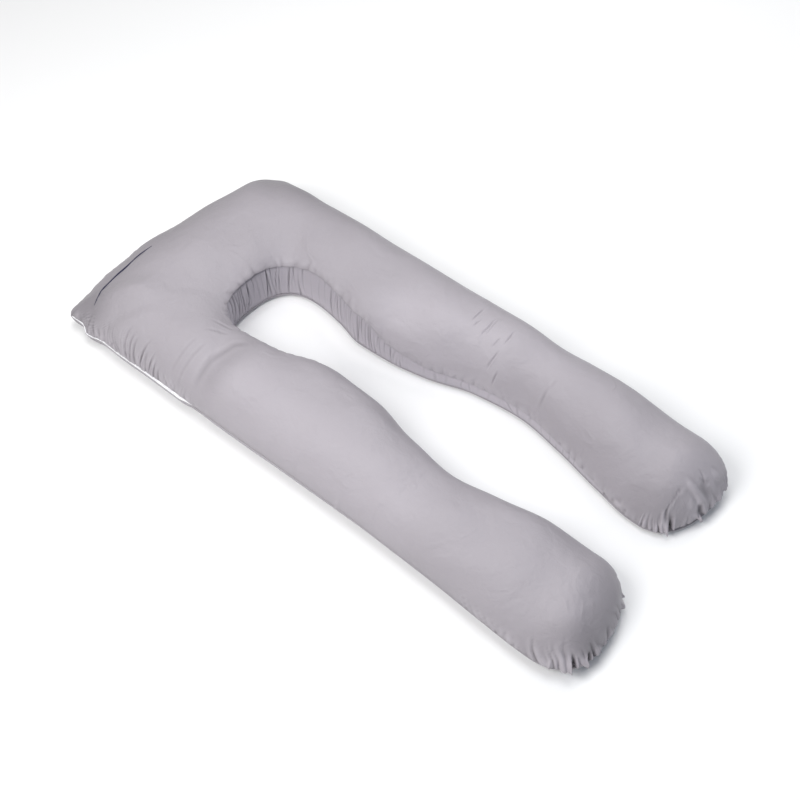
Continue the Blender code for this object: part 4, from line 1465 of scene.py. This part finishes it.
class ClothFinish(PropertyGroup):
    """Colours and finish of the cloth and trims."""

    colour: FloatVectorProperty(
        name="Cloth", description="Colour of the cover", default=(0.335, 0.312, 0.338), subtype="COLOR"
    )
    deep: FloatVectorProperty(
        name="Deep Cloth", description="Its deeper tone", default=(0.285, 0.265, 0.294), subtype="COLOR"
    )
    # The band's colour is lighter than the cover's as painted light: it makes up for the light that its
    # upright faces lack.
    band: FloatVectorProperty(
        name="Band", description="Colour of the band", default=(0.435, 0.406, 0.446), subtype="COLOR"
    )
    thread: FloatVectorProperty(
        name="Thread", description="Colour of the stitches", default=(0.36, 0.34, 0.365), subtype="COLOR"
    )
    zip_colour: FloatVectorProperty(
        name="Zip", description="Colour of the zip", default=(0.90, 0.90, 0.92), subtype="COLOR"
    )
    # The colour of the near-black strip of painted crease shade on the head's slope.
    tape: FloatVectorProperty(
        name="Crease Shade", description="Colour of the head tape", default=(0.02, 0.02, 0.05), subtype="COLOR"
    )
    # Strength of the painted shading: shade in folds and creases, and painted shade and light along the
    # strokes.
    painted_shade_strength: FloatProperty(
        name="Fold Tone", description="How much the cloth deepens in its folds", default=0.4
    )
    roughness: FloatProperty(name="Roughness", description="Of the cloth", default=0.62)
    sheen: FloatProperty(name="Sheen", description="Of the cloth", default=0.08)
    thread_pitch: FloatProperty(
        name="Thread Pitch", description="Between threads", default=0.0008, unit="LENGTH", precision=5
    )


class Studio(PropertyGroup):
    """Floor, lights and camera."""

    floor: FloatVectorProperty(
        name="Floor", description="Colour of the floor", default=(0.85, 0.85, 0.85), subtype="COLOR"
    )
    sky: FloatProperty(name="Surround", description="Strength of the even light", default=0.21)
    overhead: FloatProperty(
        name="Overhead", description="Power of the overhead softbox", default=56.0, unit="POWER"
    )
    front: FloatProperty(
        name="Front", description="Power of the front softbox", default=90.0, unit="POWER"
    )
    back: FloatProperty(
        name="Back", description="Power of the back softbox", default=40.0, unit="POWER"
    )
    foot: FloatProperty(
        name="Foot", description="Power of the cool softbox at the feet", default=11.0, unit="POWER"
    )
    azimuth: FloatProperty(
        name="Azimuth", description="Camera turn", default=radians(39.0), subtype="ANGLE"
    )
    elevation: FloatProperty(
        name="Elevation", description="Camera height angle", default=radians(54.8), subtype="ANGLE"
    )
    distance: FloatProperty(
        name="Distance", description="Camera distance", default=3.35, unit="LENGTH"
    )
    lens: FloatProperty(name="Lens", description="Focal length in millimetres", default=65.0)
    aim: FloatVectorProperty(
        name="Aim", description="Point looked at", default=(0.0162, 0.0255, 0.0), subtype="XYZ"
    )


# Studio ---------------------------------------------------------------------------------
def studio_floor(studio):
    half = FLOOR_HALF
    corners = [(-half, -half, 0), (half, -half, 0), (half, half, 0), (-half, half, 0)]
    floor = new_object("studio_floor", corners, [(0, 1, 2, 3)])
    material, _, shader = new_material("Studio floor")
    shader.inputs["Base Color"].default_value = (*studio.floor, 1.0)
    shader.inputs["Roughness"].default_value = 1.0
    shader.inputs["Specular IOR Level"].default_value = 0.0
    floor.data.materials.append(material)
    return floor


def studio_surround(scene, studio):
    world = bpy.data.worlds.new("Studio surround")
    world.use_nodes = True
    world.node_tree.nodes["Background"].inputs["Strength"].default_value = studio.sky
    world.node_tree.nodes["Background"].inputs["Color"].default_value = (*WHITE, 1.0)
    scene.world = world


def softbox(scene, name, place, power, colour):
    light = bpy.data.lights.new(name, "AREA")
    light.shape, light.size = "SQUARE", SOFTBOX_SIZE
    light.energy, light.color = power, colour
    obj = bpy.data.objects.new(name, light)
    scene.collection.objects.link(obj)
    obj.location = place
    obj.rotation_euler = (-Vector(place)).to_track_quat("-Z", "Y").to_euler()


def studio_camera(scene, studio):
    camera = bpy.data.cameras.new("studio_camera")
    camera.lens, camera.sensor_width = studio.lens, SENSOR_WIDTH
    obj = bpy.data.objects.new("studio_camera", camera)
    scene.collection.objects.link(obj)
    turn, lift = studio.azimuth, studio.elevation
    back = Vector((sin(turn) * cos(lift), -cos(turn) * cos(lift), sin(lift)))
    obj.location = Vector(studio.aim) + back * studio.distance
    obj.rotation_euler = (-back).to_track_quat("-Z", "Y").to_euler()
    scene.camera = obj


# Operators ------------------------------------------------------------------------------
class BuildBody(Operator):
    """Build the stuffed body with its seams, gathers and creases"""

    bl_idname = "body_pillow.build_body"
    bl_label = "Build Body"

    def execute(self, context):
        shape, finish = context.scene.pillow_shape, context.scene.cloth_finish
        obj, (rim_run, edge, place) = body_mesh(shape)
        mesh = obj.data
        points = points_of(mesh)
        upper = ease((points[:, 2] - UNEVEN_FROM) / UNEVEN_OVER)
        points[:, 2] += (lumps(points) - strokes(points, HOLLOWS)) * upper
        move_points(mesh, points)
        puff(obj, shape)
        mesh = subdivide(obj)
        run, rise = stored(mesh, "run"), stored(mesh, "rise")
        points = points_of(mesh)
        normals = normals_of(mesh)
        on_top = ease(rise / CREASED_RISE) * ease(normals[:, 2] / CREASED_TILT)
        height = shape.crease_depth * creases(points) * on_top
        height += shape.gather_depth * gathers(run, rise, rim_run, edge, place)
        # Painted shading for the material: shade painted into folds and creases by their depth, and painted
        # shade and light along the strokes.
        store(mesh, "hollow", strokes(points, PAINTED_SHADING_STROKES) - height / shape.full_shade_depth)
        points += normals * height[:, None]
        points[:, :2] -= MIDDLE
        points[:, 2] = np.maximum(points[:, 2], 0.0)
        move_points(mesh, points)
        cloth = cloth_material("Pillow cloth", finish.colour, finish.deep, finish, CLOTH_CRUMPLE)
        surfaced(obj, cloth)
        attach(obj, "root")
        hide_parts("pillow")
        return {"FINISHED"}


class BuildBand(Operator):
    """Build the gathered band along the inside of the U"""

    bl_idname = "body_pillow.build_band"
    bl_label = "Build Band"

    def execute(self, context):
        finish = context.scene.cloth_finish
        obj = shell("gathered_band", *band_grids())
        # The band's lighter colour is painted light.
        look = (finish.band, finish.deep, finish, BAND_CRUMPLE, BAND_STRETCH)
        surfaced(obj, cloth_material("Band cloth", *look))
        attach(obj, "root")
        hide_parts("inner_band")
        return {"FINISHED"}


class BuildZip(Operator):
    """Build the white zip tape and its coil in the outer seam"""

    bl_idname = "body_pillow.build_zip"
    bl_label = "Build Zip"

    def execute(self, context):
        finish = context.scene.cloth_finish
        tape = shell("zip_tape", *zip_grids())
        points, faces = rods(zip_teeth(), TOOTH_RADIUS)
        points[:, :2] -= MIDDLE
        coil = new_object("zip_coil", points, faces)
        white = trim_material("Zip white", finish.zip_colour, 0.5, 0.0012)
        for obj in (tape, coil):
            surfaced(obj, white)
            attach(obj, "root")
            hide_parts("side_zip")
        return {"FINISHED"}


class BuildCreaseShade(Operator):
    """Lay the near-black strip of painted crease shade on the slope of the head end"""

    bl_idname = "body_pillow.build_tape"
    bl_label = "Build Tape"

    def execute(self, context):
        finish = context.scene.cloth_finish
        obj = shell("navy_tape", *crease_shade_grids(bpy.data.objects["pillow_body"]))
        surfaced(obj, trim_material("Navy tape", finish.tape, 0.55, 0.0010))
        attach(obj, "root")
        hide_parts("head_tape")
        return {"FINISHED"}


class BuildStitches(Operator):
    """Build the lines of stitches along the seams"""

    bl_idname = "body_pillow.build_stitches"
    bl_label = "Build Stitches"

    def execute(self, context):
        body = bpy.data.objects["pillow_body"]
        parts, faces, count = [], [], 0
        for line in seam_lines():
            line[:, :2] -= MIDDLE
            spots, normals = on_surface(body, line)
            along = unit(np.roll(spots, -1, axis=0) - spots)
            middle = spots + normals * STITCH_RADIUS * 0.5
            half = along * STITCH_LENGTH / 2
            points, shapes = rods((middle - half, middle + half), STITCH_RADIUS, STITCH_SIDES)
            parts.append(points)
            faces += [tuple(index + count for index in face) for face in shapes]
            count += len(points)
        obj = new_object("seam_stitches", np.concatenate(parts), faces)
        thread = context.scene.cloth_finish.thread
        surfaced(obj, trim_material("Thread", thread, 0.6, 0.0005))
        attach(obj, "root")
        return {"FINISHED"}


class BuildWelt(Operator):
    """Build the thin welts along the outer seam and the band's lower seam"""

    bl_idname = "body_pillow.build_welt"
    bl_label = "Build Welt"

    def execute(self, context):
        body = bpy.data.objects["pillow_body"]
        rim, *_ = whole_rim()
        fall = np.hypot(rim.ledge, rim.drop)
        line = rim.slot(fall + WELT_RADIUS, np.zeros(len(fall)))
        line[:, :2] -= MIDDLE
        spots, normals = on_surface(body, line)
        points, faces = tube(spots + normals * WELT_RADIUS * 0.4, WELT_RADIUS, WELT_SIDES)
        obj = new_object("seam_welt", points, faces)
        thread = context.scene.cloth_finish.thread
        surfaced(obj, trim_material("Welt cloth", thread, 0.6, 0.0008))
        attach(obj, "root")
        return {"FINISHED"}


class BuildStudio(Operator):
    """Build the floor, the soft lights and the camera"""

    bl_idname = "body_pillow.build_studio"
    bl_label = "Build Studio"

    def execute(self, context):
        scene, studio = context.scene, context.scene.studio
        floor = studio_floor(studio)
        studio_surround(scene, studio)
        for name, place, colour in SOFTBOXES:
            softbox(scene, name + "_softbox", place, getattr(studio, name), colour)
        studio_camera(scene, studio)
        scene.view_settings.view_transform = "Standard"
        return {"FINISHED"}


class BodyPillowPanel(Panel):
    """Buttons that build the pieces, in the sidebar"""

    bl_label = "Body Pillow"
    bl_idname = "VIEW3D_PT_body_pillow"
    bl_space_type = "VIEW_3D"
    bl_region_type = "UI"
    bl_category = "Body Pillow"

    def draw(self, context):
        layout = self.layout
        for operator in OPERATORS:
            layout.operator(operator.bl_idname)


SETTINGS = {"pillow_shape": PillowShape, "cloth_finish": ClothFinish, "studio": Studio}
OPERATORS = (BuildBody, BuildBand, BuildZip, BuildCreaseShade, BuildWelt, BuildStitches, BuildStudio)
CLASSES = (*SETTINGS.values(), *OPERATORS, BodyPillowPanel)


def register():
    for cls in CLASSES:
        bpy.utils.register_class(cls)
    for name, group in SETTINGS.items():
        setattr(bpy.types.Scene, name, PointerProperty(type=group))


def unregister():
    for name in SETTINGS:
        delattr(bpy.types.Scene, name)
    for cls in reversed(CLASSES):
        bpy.utils.unregister_class(cls)


def main():
    register()
    bpy.ops.body_pillow.build_body()
    bpy.ops.body_pillow.build_band()
    bpy.ops.body_pillow.build_zip()
    bpy.ops.body_pillow.build_tape()
    bpy.ops.body_pillow.build_welt()
    bpy.ops.body_pillow.build_stitches()
    bpy.ops.body_pillow.build_studio()


if __name__ == "__main__":
    main()
